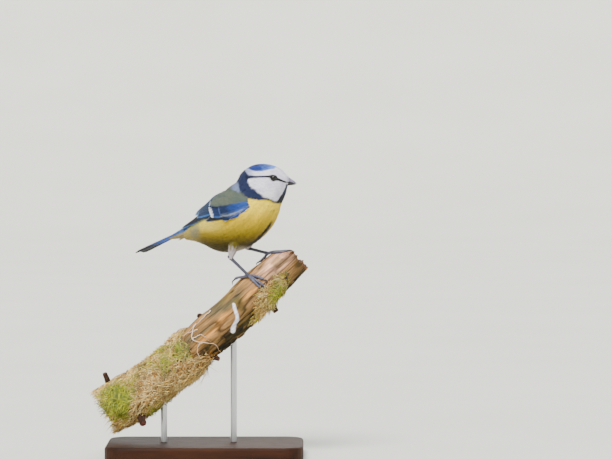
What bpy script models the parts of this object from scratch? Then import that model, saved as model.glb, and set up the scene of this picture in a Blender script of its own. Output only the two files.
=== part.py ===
"""A life-size blue tit that grips the broken end of a mossy branch, on a plain display stand.

Run with: blender --background --python part.py
Metres, +Z up. The origin is the middle of the base's underside, and the bird faces +X.
Sizes are written in millimetres, and MM scales them as each mesh is made.
"""

import math
import random

import bmesh
import bpy
import numpy as np

MM = 0.001
GAP = 0.3  # between pieces that touch
WELD = 0.015  # corners closer than this are welded
SEED = 7

# The bird's own frame: u forward, v to its left, z up, from the middle of its trunk.
TRUNK_CENTRE = (22.0, 0.0, 148.0)
TRUNK_TURN = math.radians(-25)  # the breast is turned towards the viewer
HEAD_TURN = math.radians(-6)  # the head looks almost straight along +X
NECK_U = 10.4  # the head turns about the upright line through this place
HEAD_BLEND = (7.4, 10.2)  # the sections between which the turn changes

# One row for each section of the body, from the tail coverts to the bill's root:
# back u, back z, underside u, underside z, half-width.
BODY_SECTIONS = [
    (-38.6, -5.4, -39.4, -10.8, 2.6),
    (-35.5, -2.4, -36.8, -12.0, 5.0),
    (-30.5, 1.2, -30.8, -12.8, 8.4),
    (-24.5, 5.8, -23.2, -15.2, 12.0),
    (-17.0, 13.0, -13.9, -18.9, 15.0),
    (-10.0, 19.3, -3.0, -18.8, 16.8),
    (-4.8, 23.6, 8.6, -14.2, 17.5),
    (-1.4, 25.6, 19.6, -5.0, 17.0),
    (0.0, 27.8, 25.2, 4.0, 15.6),
    (1.4, 30.7, 27.3, 10.8, 14.0),
    (4.6, 33.6, 29.0, 15.0, 12.8),
    (9.6, 36.1, 30.1, 18.0, 11.9),
    (15.5, 36.9, 30.7, 20.5, 10.2),
    (21.8, 35.9, 31.1, 22.2, 8.2),
    (27.0, 33.4, 31.4, 23.3, 6.2),
    (30.2, 30.1, 31.7, 24.3, 3.9),
    (31.3, 28.2, 31.8, 25.2, 2.0),
]
TORSO_TO = 8.18
NECK_FROM = 8.2
NECK_TO = 9.9
HEAD_FROM = 9.92
BODY_SIDES = 30
RINGS_PER_SECTION = 1.9
FLANK_FULLNESS = 0.06

EYE_PLACE = (23.7, 28.3)  # u, z
EYE_RADIUS = 2.3
EYE_SINK = 1.25  # how deep the ball's middle lies under the face
LID_RADIUS = 1.95
LID_THICK = 0.42
LID_STEPS = 14

BILL_ROOT = (29.6, 26.3)  # u, z of the line of the mouth, inside the face
BILL_TIP = (36.9, 24.2)
BILL_UPPER_DEPTH = 2.5
BILL_LOWER_DEPTH = 3.3
BILL_WIDTH = 4.1
NOSTRIL_PLACE = (32.3, 27.6)
NOSTRIL_RADIUS = 0.32

# Rows along the folded wing from its bend to its tip: u, distance from the middle plane, z.
WING_LOWER = [
    (15.0, 15.4, 9.6),
    (2.5, 17.6, 2.7),
    (-10.0, 16.6, 0.5),
    (-20.0, 13.2, -0.8),
    (-30.0, 8.6, -2.6),
    (-38.5, 5.0, -4.0),
]
WING_UPPER = [
    (12.5, 13.4, 17.2),
    (1.0, 11.8, 19.2),
    (-10.0, 7.4, 16.9),
    (-20.0, 3.9, 10.2),
    (-29.5, 2.3, 4.2),
    (-38.0, 4.0, -3.4),
]
WING_BULGE = [1.6, 2.4, 2.4, 1.8, 1.0, 0.3]
WING_CORE_END = 0.56
PRIMARIES = 6
SECONDARIES = 4
TERTIALS = 3
GREAT_COVERTS = 6
VANE_THICK = 0.55

TAIL_ROOT = (-31.0, -3.1)
TAIL_TIP = (-70.4, -19.5)
TAIL_PAIRS = 6
TAIL_FEATHER_WIDTH = 4.3
TAIL_STEP_OUT = 0.72
TAIL_STEP_DOWN = 0.13
TAIL_FORK = 1.3

LEG_RADIUS = 0.92
THIGH_GIRTHS = (3.9, 2.7, 1.4)
TOE_RADIUS = 0.71
CLAW_RADIUS = 0.44

# The branch's middle line at even steps from its broken end, as x and z, and the wood's radius there.
PERCH_LINE = [
    (57.3, 125.8),
    (37.8, 108.4),
    (19.5, 91.0),
    (0.8, 75.3),
    (-18.5, 58.3),
    (-40.0, 41.6),
    (-62.4, 28.7),
]
PERCH_RADII = [10.3, 12.6, 13.2, 12.9, 11.2, 10.8, 10.6]
PERCH_STEP = 25.8
PERCH_LENGTH = PERCH_STEP * (len(PERCH_LINE) - 1)
PERCH_SIDES = 26
BREAK_HEIGHT = 4.6  # from the middle line to the broken slope, at the end
BREAK_LENGTH = 9.6
# Each broken twig: along the branch, turn from its upper side in degrees, lean back, length, radius.
TWIGS = {
    "knot": (72, -10, 0.5, 1.4, 1.5),
    "low": (83.2, 157, -3, 4.8, 1.5),
    "scrap": (31.5, 172, 1, 4.9, 1.9),
    "buried": (136, 147, 2, 10.5, 2.4),
    "upright": (146, 3, -2, 10.8, 1.7),
}
TWIGS_IN_MOSS = ("low", "buried", "upright")

MOSS_START = 84.0
MOSS_DEPTH = 2.6
MOSS_SIDES = 22
LOCK_LENGTH = (2.2, 3.8)
LOCK_RADIUS = (0.75, 1.15)
SLEEVE_LOCKS = 26
TUFT_LOCKS = 12
TUFT_MIDDLE = (27, 131)  # along the branch, and the turn in degrees
TUFT_REACH = (18, 30)

BASE_SIZE = (124.0, 78.0, 9.0)
BASE_CORNER = 12.0
BASE_EDGE = 1.6
ROD_RADIUS = 2.0
ROD_SIDES = 20
ROD_PLACES = {"stand_rod_low": -26.0, "stand_rod_high": 18.0}

# Each foot's joint and toes, as along the branch, turn in degrees and height over the wood.
# Each toe has its pads and then its claw; the hind toe is the last. Ankle and knee are in the bird's frame.
FEET = {
    "right": {
        "joint": (29.0, 33, 1.3),
        "toes": [
            (
                [(29.0, 33, 1.2), (29.0, 51, 1.0), (28.8, 70, 0.9), (28.6, 84, 0.75)],
                [(28.4, 92, 0.9), (28.2, 98, 0.15)],
            ),
            (
                [(29.0, 33, 1.3), (27.9, 53, 1.05), (26.7, 76, 0.9), (26.0, 93, 0.75)],
                [(25.6, 102, 1.0), (25.3, 109, 0.15)],
            ),
            (
                [(29.0, 33, 1.3), (26.8, 45, 1.0), (24.7, 62, 0.85), (23.6, 73, 0.75)],
                [(22.9, 81, 0.9), (22.5, 87, 0.15)],
            ),
            (
                [(29.0, 33, 1.2), (32.0, 22, 1.5), (34.8, 12, 2.2), (36.9, 6, 2.5)],
                [(39.4, 2, 2.1), (41.0, 1, 0.35)],
            ),
        ],
        "ankle": (-1.8, -9.7, -22.3),
        "knee": (0.4, -8.6, -12.5),
    },
    "left": {
        "joint": (11.6, -10, 2.1),
        "toes": [
            (
                [(11.6, -10, 2.1), (8.4, -24, 1.5), (5.0, -38, 1.1), (2.9, -44, 1.0)],
                [(1.3, -46, 1.1), (0.3, -50, 0.2)],
            ),
            (
                [(11.6, -10, 2.1), (8.0, -9, 1.6), (4.2, -7, 1.3), (1.6, -6, 1.3)],
                [(-0.4, -5, 1.3), (-1.8, -5, -0.6)],
            ),
            (
                [(11.6, -10, 2.1), (8.6, 6, 1.4), (5.4, 18, 1.1), (3.6, 24, 1.0)],
                [(1.9, 28, 1.1), (1.0, 32, 0.15)],
            ),
            (
                [(11.6, -10, 2.1), (14.2, -9, 1.3), (16.9, -8, 0.9), (18.6, -7, 0.8)],
                [(20.6, -7, 1.1), (22.0, -7, 0.15)],
            ),
        ],
        "ankle": (0.5, 10.8, -16.9),
        "knee": (3.5, 9.6, -8.0),
    },
}

# Each material: colour, roughness, metallic.
MATERIALS = {
    "yellow_feather": ((0.80, 0.62, 0.10), 0.75, 0.0),
    "head_feather": ((0.86, 0.87, 0.90), 0.75, 0.0),
    "collar_feather": ((0.05, 0.10, 0.28), 0.7, 0.0),
    "wing_feather": ((0.08, 0.20, 0.42), 0.6, 0.0),
    "tail_feather": ((0.12, 0.26, 0.55), 0.6, 0.0),
    "leg_skin": ((0.22, 0.25, 0.36), 0.5, 0.0),
    "bill_horn": ((0.20, 0.20, 0.24), 0.35, 0.0),
    "eye_gloss": ((0.01, 0.008, 0.006), 0.05, 0.0),
    "bark": ((0.42, 0.30, 0.18), 0.85, 0.0),
    "moss": ((0.55, 0.50, 0.14), 0.9, 0.0),
    "stand_wood": ((0.06, 0.04, 0.03), 0.4, 0.0),
    "stand_steel": ((0.60, 0.60, 0.62), 0.3, 1.0),
}


# Curves and directions


def smooth(table, at):
    """A table's rows read as one smooth curve, at places counted in rows."""
    table = np.asarray(table, float)
    if table.ndim == 1:
        return smooth(table[:, None], at)[..., 0]
    at = np.clip(np.asarray(at, float), 0, len(table) - 1)
    ends = np.vstack([2 * table[0] - table[1], table, 2 * table[-1] - table[-2]])
    row = np.minimum(at.astype(int), len(table) - 2)
    part = (at - row)[..., None]
    before, here, after, beyond = (ends[row + k] for k in range(4))
    return 0.5 * (
        2 * here
        + (after - before) * part
        + (2 * before - 5 * here + 4 * after - beyond) * part**2
        + (3 * here - before - 3 * after + beyond) * part**3
    )


def unit(vectors):
    """The vectors at length 1."""
    vectors = np.asarray(vectors, float)
    return vectors / np.maximum(np.linalg.norm(vectors, axis=-1, keepdims=True), 1e-12)


def blend_step(low, high, at):
    """0 below low and 1 above high, with a smooth rise between."""
    share = np.clip((np.asarray(at, float) - low) / (high - low), 0, 1)
    return share * share * (3 - 2 * share)


def between(pair, share):
    """The value that lies that share of the way from the first of a pair to the second."""
    return np.asarray(pair[0], float) + (np.asarray(pair[1], float) - np.asarray(pair[0], float)) * share


def full_turn(sides):
    """Evenly spread angles round a circle."""
    return np.arange(sides) * 2 * math.pi / sides


# Meshes


def clear_scene():
    """Removes the objects that the scene starts with."""
    for obj in list(bpy.data.objects):
        bpy.data.objects.remove(obj)


def material(slot):
    """The material of that slot, made once."""
    found = bpy.data.materials.get(slot)
    if found:
        return found
    colour, roughness, metallic = MATERIALS[slot]
    made = bpy.data.materials.new(slot)
    made.use_nodes = True
    shader = made.node_tree.nodes["Principled BSDF"]
    shader.inputs["Base Color"].default_value = (*colour, 1)
    shader.inputs["Roughness"].default_value = roughness
    shader.inputs["Metallic"].default_value = metallic
    return made


def object_of(name, work, slot):
    """A new object of the mesh being worked on, with its faces turned outwards."""
    bmesh.ops.recalc_face_normals(work, faces=work.faces)
    mesh = bpy.data.meshes.new(name)
    work.to_mesh(mesh)
    work.free()
    mesh.materials.append(material(slot))
    obj = bpy.data.objects.new(name, mesh)
    bpy.context.scene.collection.objects.link(obj)
    return obj


def lofted(name, rings, slot, flat=False):
    """A closed solid through rings of points, with a fan over each end.

    A flat vane has four corners to a ring, and its upper and lower face are cut along the same diagonals.
    """
    rings = np.asarray(rings, float) * MM
    work = bmesh.new()
    loops = [[work.verts.new(point) for point in ring] for ring in rings]
    sides = len(loops[0])
    for lower, upper in zip(loops, loops[1:]):
        for j in range(sides):
            k = (j + 1) % sides
            if flat and j == 2:
                work.faces.new((lower[j], lower[k], upper[j]))
                work.faces.new((lower[k], upper[k], upper[j]))
            else:
                work.faces.new((lower[j], lower[k], upper[k]))
                work.faces.new((lower[j], upper[k], upper[j]))
    for loop, ring in ((loops[0], rings[0]), (loops[-1], rings[-1])):
        middle = work.verts.new(ring.mean(axis=0))
        for j in range(sides):
            work.faces.new((loop[j], loop[(j + 1) % sides], middle))
    return object_of(name, work, slot)


def tube(name, path, radii, slot, sides=6, closed=False):
    """A round tube along a path: a curve with a bevel and filled caps, turned into a closed mesh."""
    path = np.asarray(path, float) * MM
    curve = bpy.data.curves.new(name, "CURVE")
    curve.dimensions = "3D"
    curve.bevel_depth = MM
    curve.bevel_resolution = (sides - 4) // 2
    curve.use_fill_caps = not closed
    spline = curve.splines.new("POLY")
    spline.points.add(len(path) - 1)
    spline.use_cyclic_u = closed
    for point, place, radius in zip(spline.points, path, np.broadcast_to(radii, len(path))):
        point.co = (*place, 1)
        point.radius = radius
    guide = bpy.data.objects.new(name, curve)
    bpy.context.scene.collection.objects.link(guide)
    bpy.context.view_layer.update()
    graph = bpy.context.evaluated_depsgraph_get()
    mesh = bpy.data.meshes.new_from_object(guide.evaluated_get(graph))
    bpy.data.objects.remove(guide)
    work = bmesh.new()
    work.from_mesh(mesh)
    bmesh.ops.remove_doubles(work, verts=work.verts, dist=0.001 * MM)
    bmesh.ops.triangulate(work, faces=work.faces)
    return object_of(name, work, slot)


def ball(name, centre, radius, slot):
    """A ball of that radius."""
    work = bmesh.new()
    bmesh.ops.create_uvsphere(work, u_segments=12, v_segments=8, radius=radius * MM)
    bmesh.ops.translate(work, vec=np.asarray(centre) * MM, verts=work.verts)
    return object_of(name, work, slot)


def baked(obj):
    """Replaces the object's mesh by what its modifiers make of it."""
    bpy.context.view_layer.update()
    graph = bpy.context.evaluated_depsgraph_get()
    mesh = bpy.data.meshes.new_from_object(obj.evaluated_get(graph))
    obj.modifiers.clear()
    obj.data = mesh
    return obj


def islands(work):
    """The groups of corners that edges join."""
    left = set(work.verts)
    groups = []
    while left:
        group = set()
        front = [left.pop()]
        while front:
            vert = front.pop()
            group.add(vert)
            near = {edge.other_vert(vert) for edge in vert.link_edges} & left
            left -= near
            front += near
        groups.append(group)
    return groups


def spread(group):
    """The diagonal of the box round a group of corners."""
    places = np.array([vert.co for vert in group])
    return float(np.linalg.norm(places.max(axis=0) - places.min(axis=0)))


def keep_largest(obj):
    """Keeps only the object's largest closed surface."""
    work = bmesh.new()
    work.from_mesh(obj.data)
    groups = islands(work)
    largest = max(groups, key=spread)
    bmesh.ops.delete(work, geom=[vert for group in groups if group is not largest for vert in group])
    work.to_mesh(obj.data)
    work.free()
    return obj


def welded(obj):
    """Welds the near-touching corners that a cut leaves, where the mesh stays closed."""
    work = bmesh.new()
    work.from_mesh(obj.data)
    bmesh.ops.remove_doubles(work, verts=work.verts, dist=WELD * MM)
    bmesh.ops.dissolve_degenerate(work, edges=work.edges, dist=WELD * MM)
    bmesh.ops.triangulate(work, faces=work.faces)
    if all(len(edge.link_faces) == 2 for edge in work.edges):
        work.to_mesh(obj.data)
    work.free()
    return obj


def fused(first, others, solver="EXACT"):
    """Joins closed pieces into the first one, by one union over their collection."""
    group = bpy.data.collections.new("pieces")
    bpy.context.scene.collection.children.link(group)
    for piece in others:
        bpy.context.scene.collection.objects.unlink(piece)
        group.objects.link(piece)
    modifier = first.modifiers.new("union", "BOOLEAN")
    modifier.operation = "UNION"
    modifier.operand_type = "COLLECTION"
    modifier.collection = group
    modifier.solver = solver
    baked(first)
    for piece in others:
        bpy.data.objects.remove(piece)
    bpy.data.collections.remove(group)
    return welded(keep_largest(first))


def cut(obj, *cutters, solver="EXACT"):
    """Cuts the cutters' shapes out of the object and removes them."""
    for cutter in cutters:
        modifier = obj.modifiers.new("cut", "BOOLEAN")
        modifier.operation = "DIFFERENCE"
        modifier.object = cutter
        modifier.solver = solver
        baked(obj)
        bpy.data.objects.remove(cutter)
    return welded(keep_largest(obj))


def finished(obj, group, angle=50):
    """Shades the object smooth but for its sharp edges, sets its origin to its middle and parents it."""
    obj.data.shade_smooth()
    obj.data.set_sharp_from_angle(angle=math.radians(angle))
    places = np.array([vert.co for vert in obj.data.vertices])
    middle = (places.max(axis=0) + places.min(axis=0)) / 2
    for vert in obj.data.vertices:
        vert.co -= type(vert.co)(middle)
    obj.parent = bpy.data.objects[group]
    obj.location = middle - np.array(obj.parent.location)
    return obj


def group_empty(name, place):
    """An empty that the pieces of one group hang on."""
    empty = bpy.data.objects.new(name, None)
    empty.location = np.asarray(place) * MM
    bpy.context.scene.collection.objects.link(empty)


# The bird's trunk, neck and head


def bird_points(points, turned=0.0):
    """Points of the bird's own frame, placed in the part's: turned is 0 in the trunk, 1 in the head."""
    points = np.asarray(points, float)
    angle = TRUNK_TURN + (HEAD_TURN - TRUNK_TURN) * np.asarray(turned, float)
    ahead = points[..., 0] - NECK_U
    pivot_x = TRUNK_CENTRE[0] + NECK_U * math.cos(TRUNK_TURN)
    pivot_y = TRUNK_CENTRE[1] + NECK_U * math.sin(TRUNK_TURN)
    x = pivot_x + ahead * np.cos(angle) - points[..., 1] * np.sin(angle)
    y = pivot_y + ahead * np.sin(angle) + points[..., 1] * np.cos(angle)
    return np.stack([x, y, TRUNK_CENTRE[2] + points[..., 2]], axis=-1)


def body_surface(section, turn, grow=0.0):
    """The body's surface at a section and an angle from the back over its left side, grown outwards."""
    section, turn = np.broadcast_arrays(np.asarray(section, float), np.asarray(turn, float))
    row = smooth(BODY_SECTIONS, section)
    back = np.stack([row[..., 0], 0 * row[..., 0], row[..., 1]], axis=-1)
    under = np.stack([row[..., 2], 0 * row[..., 0], row[..., 3]], axis=-1)
    upward = (back - under) / 2
    height = np.cos(turn)
    across = np.sin(turn)
    fullness = 1 + FLANK_FULLNESS * (1 - height) * np.abs(across)
    points = (back + under) / 2 + (upward + grow * unit(upward)) * height[..., None]
    points[..., 1] += (row[..., 4] + grow) * across * fullness
    return bird_points(points, blend_step(*HEAD_BLEND, section))


def body_rings(start, end, grow=0.0):
    """The body's rings between two sections, grown outwards by that much."""
    count = max(3, int(round((end - start) * RINGS_PER_SECTION)) + 1)
    sections = np.linspace(start, end, count)
    return body_surface(sections[:, None], full_turn(BODY_SIDES)[None, :], grow)


def body_mould(start, end):
    """A length of the body grown by the gap, which cuts what lies on it."""
    return lofted("mould", body_rings(start, end, GAP), "yellow_feather")


def eye_frame(side):
    """The eye's middle and the direction that it looks in, square to the face there."""
    section, turn = np.meshgrid(np.linspace(10, 13, 301), np.linspace(0.9, 2.2, 261), indexing="ij")
    face = body_surface(section, side * turn)
    wanted = bird_points((EYE_PLACE[0], 0.0, EYE_PLACE[1]), 1.0)
    across = bird_points((0.0, 1.0, 0.0), 1.0) - bird_points((0.0, 0.0, 0.0), 1.0)
    off = face - wanted
    off = off - (off @ across)[..., None] * across
    i, j = np.unravel_index(np.argmin(np.linalg.norm(off, axis=-1)), section.shape)
    look = unit(np.cross(face[i + 5, j] - face[i - 5, j], face[i, j + 5] - face[i, j - 5]))
    look = look * np.sign((look @ across) * side)
    return face[i, j] - look * EYE_SINK, look


def eyelid(side):
    """A ring of bare lid round the eye, a little drawn out to the front and back."""
    centre, look = eye_frame(side)
    ahead = unit(np.cross((0, 0, 1), look))
    up = unit(np.cross(look, ahead))
    turn = full_turn(LID_STEPS)[:, None]
    rim = centre + look * (EYE_SINK + 0.05)
    path = rim + LID_RADIUS * (1.12 * np.cos(turn) * ahead + 0.92 * np.sin(turn) * up)
    return tube("lid", path, LID_THICK, "head_feather", 6, closed=True)


def bill_half(name, half, grow=0.0):
    """The upper (1) or lower (-1) half of the bill, grown by that much."""
    root = np.array(BILL_ROOT)
    tip = np.array(BILL_TIP)
    depth = BILL_UPPER_DEPTH if half > 0 else BILL_LOWER_DEPTH
    reach = 1.0 if half > 0 else 0.955
    rings = []
    for share in np.linspace(0, 1, 7):
        u = root[0] + (tip[0] - root[0]) * share * reach + grow * (share == 1) - grow * (share == 0)
        mouth = root[1] + (tip[1] - root[1]) * share**1.5 + half * (GAP / 2 - grow)
        fall = (1 - share**1.6) ** 0.75 if half > 0 else (1 - share**1.3) ** 0.8
        tall = depth * fall + 0.10 + 2 * grow
        wide = BILL_WIDTH / 2 * (1 - share**1.25) ** 0.85 + 0.10 + grow
        turn = np.linspace(0, math.pi, 8)
        rise = half * tall * np.maximum(np.sin(turn), 0) ** 0.9
        rings.append(np.stack([u + 0 * turn, wide * np.cos(turn), mouth + rise], axis=-1))
    return lofted(name, bird_points(rings, 1.0), "bill_horn")


def build_head():
    """The head with its lids, cut clear of the eyes and the bill."""
    head = lofted("head", body_rings(HEAD_FROM, len(BODY_SECTIONS) - 1), "head_feather")
    fused(head, [eyelid(side) for side in (-1, 1)], "MANIFOLD")
    for side in (-1, 1):
        centre, _ = eye_frame(side)
        cut(head, ball("socket", centre, EYE_RADIUS + GAP, "eye_gloss"), solver="MANIFOLD")
    for half in (1, -1):
        cut(head, bill_half("mould", half, GAP), solver="MANIFOLD")
    finished(head, "bird", 60)


def build_eyes():
    """Both eyes, whole balls that sit deep in the head."""
    for side, name in ((-1, "eye_right"), (1, "eye_left")):
        centre, _ = eye_frame(side)
        finished(ball(name, centre, EYE_RADIUS, "eye_gloss"), "bird", 80)


def build_bill():
    """Both halves of the bill, parted by the line of the mouth, with a nostril on each side."""
    upper = bill_half("bill_upper", 1)
    u, z = NOSTRIL_PLACE
    for side in (-1, 1):
        inner = bird_points((u, side * 0.9, z), 1.0)
        outer = bird_points((u, side * 3.0, z + 0.3), 1.0)
        cut(upper, tube("nostril", [inner, outer], NOSTRIL_RADIUS, "bill_horn", 8))
    finished(upper, "bird")
    finished(bill_half("bill_lower", -1), "bird")


def build_trunk():
    """The trunk and the neck, two lengths of the one body."""
    finished(lofted("torso", body_rings(0, TORSO_TO), "yellow_feather"), "bird")
    finished(lofted("neck", body_rings(NECK_FROM, NECK_TO), "collar_feather"), "bird")


# The wings and the tail


def flat_rings(middle, edge, up):
    """Four-cornered rings of a flat vane, from its middle line and its half-width and half-thickness."""
    below = middle - up
    above = middle + up
    return np.stack([below - edge, below + edge, above + edge, above - edge], axis=1)


def wing_place(side, along, across, height=0.0):
    """The wing's surface: along runs from bend to tip, and across from the lower edge to the upper."""
    row = np.asarray(along, float) * (len(WING_LOWER) - 1)
    across = np.asarray(across, float)
    low = smooth(WING_LOWER, row)
    high = smooth(WING_UPPER, row)
    bulge = smooth(WING_BULGE, row) * 4 * across * (1 - across)
    ahead = smooth(WING_LOWER, row - 0.05) - smooth(WING_LOWER, row + 0.05)
    out = unit(np.cross(high - low, ahead))
    out = out * np.where(out[..., 1:2] < 0, -1, 1)
    points = low + (high - low) * across[..., None] + out * (bulge + height)[..., None]
    return bird_points(points * (1, side, 1))


def wing_vane(side, root, tip, width, height, point=0.55, steps=5):
    """One feather on the wing, from root to tip, with the height of each end over the wing."""
    share = np.linspace(0, 1, steps)
    along = between((root[0], tip[0]), share)
    across = between((root[1], tip[1]), share**1.3)
    lift = between(height, share)
    middle = wing_place(side, along, across, lift)
    above = unit(wing_place(side, along, across, lift + 1) - middle)
    ahead = unit(np.gradient(middle, axis=0))
    edge = unit(np.cross(ahead, above))
    edge = unit(edge + side * 0.25 * above)  # each feather lies over the one below it
    up = unit(np.cross(edge, ahead))
    rounding = 1 - np.clip((share - point) / (1.02 - point), 0, 1) ** 2.2
    shape = np.minimum(1, 0.62 + share * 1.4) * rounding**0.5
    half = np.maximum(width / 2 * shape, 0.12)[:, None]
    deep = (VANE_THICK / 2 * (1 - 0.45 * share**3))[:, None]
    return lofted("vane", flat_rings(middle, edge * half, up * deep), "wing_feather", flat=True)


def wing_tier(side, count, roots, tips, widths, heights, **shape):
    """A row of feathers. Roots, tips, widths and heights are given for the first and the last of them."""
    feathers = []
    for share in np.linspace(0, 1, count):
        root = between(roots, share)
        tip = between(tips, share)
        width = float(between(widths, share))
        height = between(heights, share)
        feathers.append(wing_vane(side, root, tip, width, height, **shape))
    return feathers


def wing_feathers(side):
    """The wing's feathers in tiers, from the long ones at the bottom to the coverts on top."""
    hand = wing_tier(
        side,
        PRIMARIES,
        roots=[(0.30, 0.16), (0.32, 0.12)],
        tips=[(0.74, 0.38), (1.0, 0.20)],
        widths=(4.6, 3.0),
        heights=[(0.0, 0.10), (0.0, -0.25)],
    )
    arm = wing_tier(
        side,
        SECONDARIES,
        roots=[(0.36, 0.24), (0.36, 0.70)],
        tips=[(0.70, 0.40), (0.70, 0.76)],
        widths=(4.8, 4.6),
        heights=[(0.3, 0.45), (0.3, 0.55)],
    )
    innermost = wing_tier(
        side,
        TERTIALS,
        roots=[(0.34, 0.72), (0.34, 0.88)],
        tips=[(0.78, 0.80), (0.66, 0.92)],
        widths=(4.6, 4.6),
        heights=[(0.4, 0.2), (0.4, 0.3)],
    )
    coverts = wing_tier(
        side,
        GREAT_COVERTS,
        roots=[(0.22, 0.12), (0.32, 0.88)],
        tips=[(0.45, 0.16), (0.58, 0.89)],
        widths=(4.1, 4.1),
        heights=[(0.9, 1.1), (0.8, 1.1)],
        point=0.7,
        steps=4,
    )
    thumb = wing_vane(side, (0.16, 0.10), (0.45, 0.09), 2.6, (0.6, 0.6), steps=4)
    return hand + arm + innermost + coverts + [thumb]


def wing_core(name, side):
    """The arm and hand under the small coverts: a cushion that sinks into the flank until it is cut."""
    along = np.linspace(0.0, WING_CORE_END, 9)[:, None]
    across = np.linspace(0.0, 1.0, 6)[None, :]
    along, across = np.broadcast_arrays(along, across)
    rim = 1 - np.abs(2 * across - 1) ** 3
    end = blend_step(0, 0.1, along) * (1 - blend_step(0.30, WING_CORE_END, along))
    top = wing_place(side, along, across, 0.15 + 1.5 * rim * (0.15 + 0.85 * end))
    low = wing_place(side, along, across, -0.3 - 2.2 * rim * end)
    return lofted(name, np.concatenate([top, low[:, ::-1]], axis=1), "wing_feather")


def build_wings():
    """Both folded wings."""
    for side, name in ((-1, "wing_right"), (1, "wing_left")):
        wing = wing_core(name, side)
        fused(wing, wing_feathers(side), "MANIFOLD")
        cut(wing, body_mould(0, NECK_TO + 0.6), solver="MANIFOLD")
        finished(wing, "bird", 35)


def tail_feather(side, pair):
    """One tail feather: the middle pair lies on top, and each outer pair further out and lower."""
    share = np.array([0, 0.34, 0.66, 0.9, 1])
    length = math.dist(TAIL_ROOT, TAIL_TIP)
    reach = 1 - TAIL_FORK * (1 - pair / (TAIL_PAIRS - 1)) ** 1.5 / length
    out = (pair * TAIL_STEP_OUT + 0.45) * (0.55 + 0.75 * share)
    down = pair * TAIL_STEP_DOWN * (1.25 - 0.55 * share)
    u = between((TAIL_ROOT[0], TAIL_TIP[0]), share * reach)
    z = between((TAIL_ROOT[1], TAIL_TIP[1]), share * reach) + 1.5 * (1 - share) - down
    middle = np.stack([u, side * out, z], axis=-1)
    ahead = unit(np.gradient(middle, axis=0))
    roll = math.radians(6 + 3.5 * pair)
    edge = np.array((0.0, side * math.cos(roll), -math.sin(roll)))
    edge = unit(edge - ahead * (ahead @ edge)[:, None])
    up = np.cross(edge, ahead)
    up = up * np.where(up[:, 2:3] < 0, -1, 1)
    rounding = (1 - np.clip((share - 0.86) / 0.15, 0, 1) ** 2.5) ** 0.5
    half = (TAIL_FEATHER_WIDTH / 2 * (0.62 + 0.38 * share) * rounding + 0.1)[:, None]
    deep = (VANE_THICK / 2 * (1 - 0.4 * share**3))[:, None]
    rings = bird_points(flat_rings(middle, edge * half, up * deep))
    return lofted("vane", rings, "tail_feather", flat=True)


def tail_core(name):
    """The coverts round the tail's root, as one tapered cushion."""
    turn = full_turn(12)
    rings = []
    for share in np.linspace(0, 1, 6):
        u = float(between((TAIL_ROOT[0], TAIL_TIP[0]), 0.05 + 0.42 * share))
        z = float(between((TAIL_ROOT[1], TAIL_TIP[1]), 0.05 + 0.42 * share)) - 1.2 * (1 - share)
        wide = 4.4 - 1.2 * share
        tall = 3.4 * (1 - share**1.5) + 0.5
        rings.append(np.stack([u + 0 * turn, wide * np.sin(turn), z + tall * np.cos(turn)], axis=-1))
    return lofted(name, bird_points(rings), "tail_feather")


def build_tail():
    """The folded tail, cut clear of the trunk."""
    tail = tail_core("tail")
    fused(tail, [tail_feather(side, pair) for pair in range(TAIL_PAIRS) for side in (-1, 1)], "MANIFOLD")
    cut(tail, body_mould(0, 4), solver="MANIFOLD")
    finished(tail, "bird", 35)


# The branch and its moss


def perch_frame(along):
    """The branch's middle line at a distance from its broken end, with its direction and its upper side."""
    along = np.asarray(along, float)
    row = np.clip(along / PERCH_STEP, 0, len(PERCH_LINE) - 1)
    ahead = unit(smooth(PERCH_LINE, row + 0.02) - smooth(PERCH_LINE, row - 0.02))
    beyond = along - row * PERCH_STEP
    centre = smooth(PERCH_LINE, row) + ahead * beyond[..., None]
    zero = 0 * centre[..., 0]
    middle = np.stack([centre[..., 0], zero, centre[..., 1]], axis=-1)
    line = np.stack([ahead[..., 0], zero, ahead[..., 1]], axis=-1)
    upper = np.stack([ahead[..., 1], zero, -ahead[..., 0]], axis=-1)
    return middle, line, upper


def wood_radius(along, turn):
    """The bare wood's radius, with its long ridges and the broken slope on top of the end."""
    radius = smooth(PERCH_RADII, along / PERCH_STEP)
    ridges = 0.030 * np.cos(3 * turn + 0.035 * along) + 0.018 * np.cos(7 * turn - 0.05 * along + 1)
    swells = 0.02 * np.sin(0.16 * along + 2 * np.cos(turn))
    radius = radius * (1 + ridges + swells)
    rise = (smooth(PERCH_RADII, 0.4) - BREAK_HEIGHT) * along / BREAK_LENGTH
    slope = (BREAK_HEIGHT + rise) / np.maximum(np.cos(turn), 0.05)
    on_slope = (along < BREAK_LENGTH) & (np.cos(turn) > 0.05)
    return np.where(on_slope, np.minimum(radius, slope), radius)


def perch_place(along, turn, height=0.0):
    """A place over the bare wood. turn is 0 at its upper side and a quarter turn on the viewer's side."""
    along, turn = np.broadcast_arrays(np.asarray(along, float), np.asarray(turn, float))
    middle, _, upper = perch_frame(along)
    radius = (wood_radius(along, turn) + height)[..., None]
    near = np.array((0.0, -1.0, 0.0))
    return middle + radius * (np.cos(turn)[..., None] * upper + np.sin(turn)[..., None] * near)


def wood_rings(count, start=0.0, end=PERCH_LENGTH, grow=0.0):
    """Rings of the bare wood, grown by that much, with splinters at the broken end."""
    turn = full_turn(PERCH_SIDES)[None, :]
    along = np.linspace(start, end, count)[:, None]
    splinters = 1.1 * np.sin(5 * turn) * np.cos(2 * turn + 0.6) - 0.7 * np.cos(9 * turn)
    shift = splinters * (1 - blend_step(0, 9, along))
    shift = shift - grow * (along == start) + grow * (along == end)
    _, line, _ = perch_frame(along + 0 * turn)
    return perch_place(along, turn, grow) + line * shift[..., None]


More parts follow.
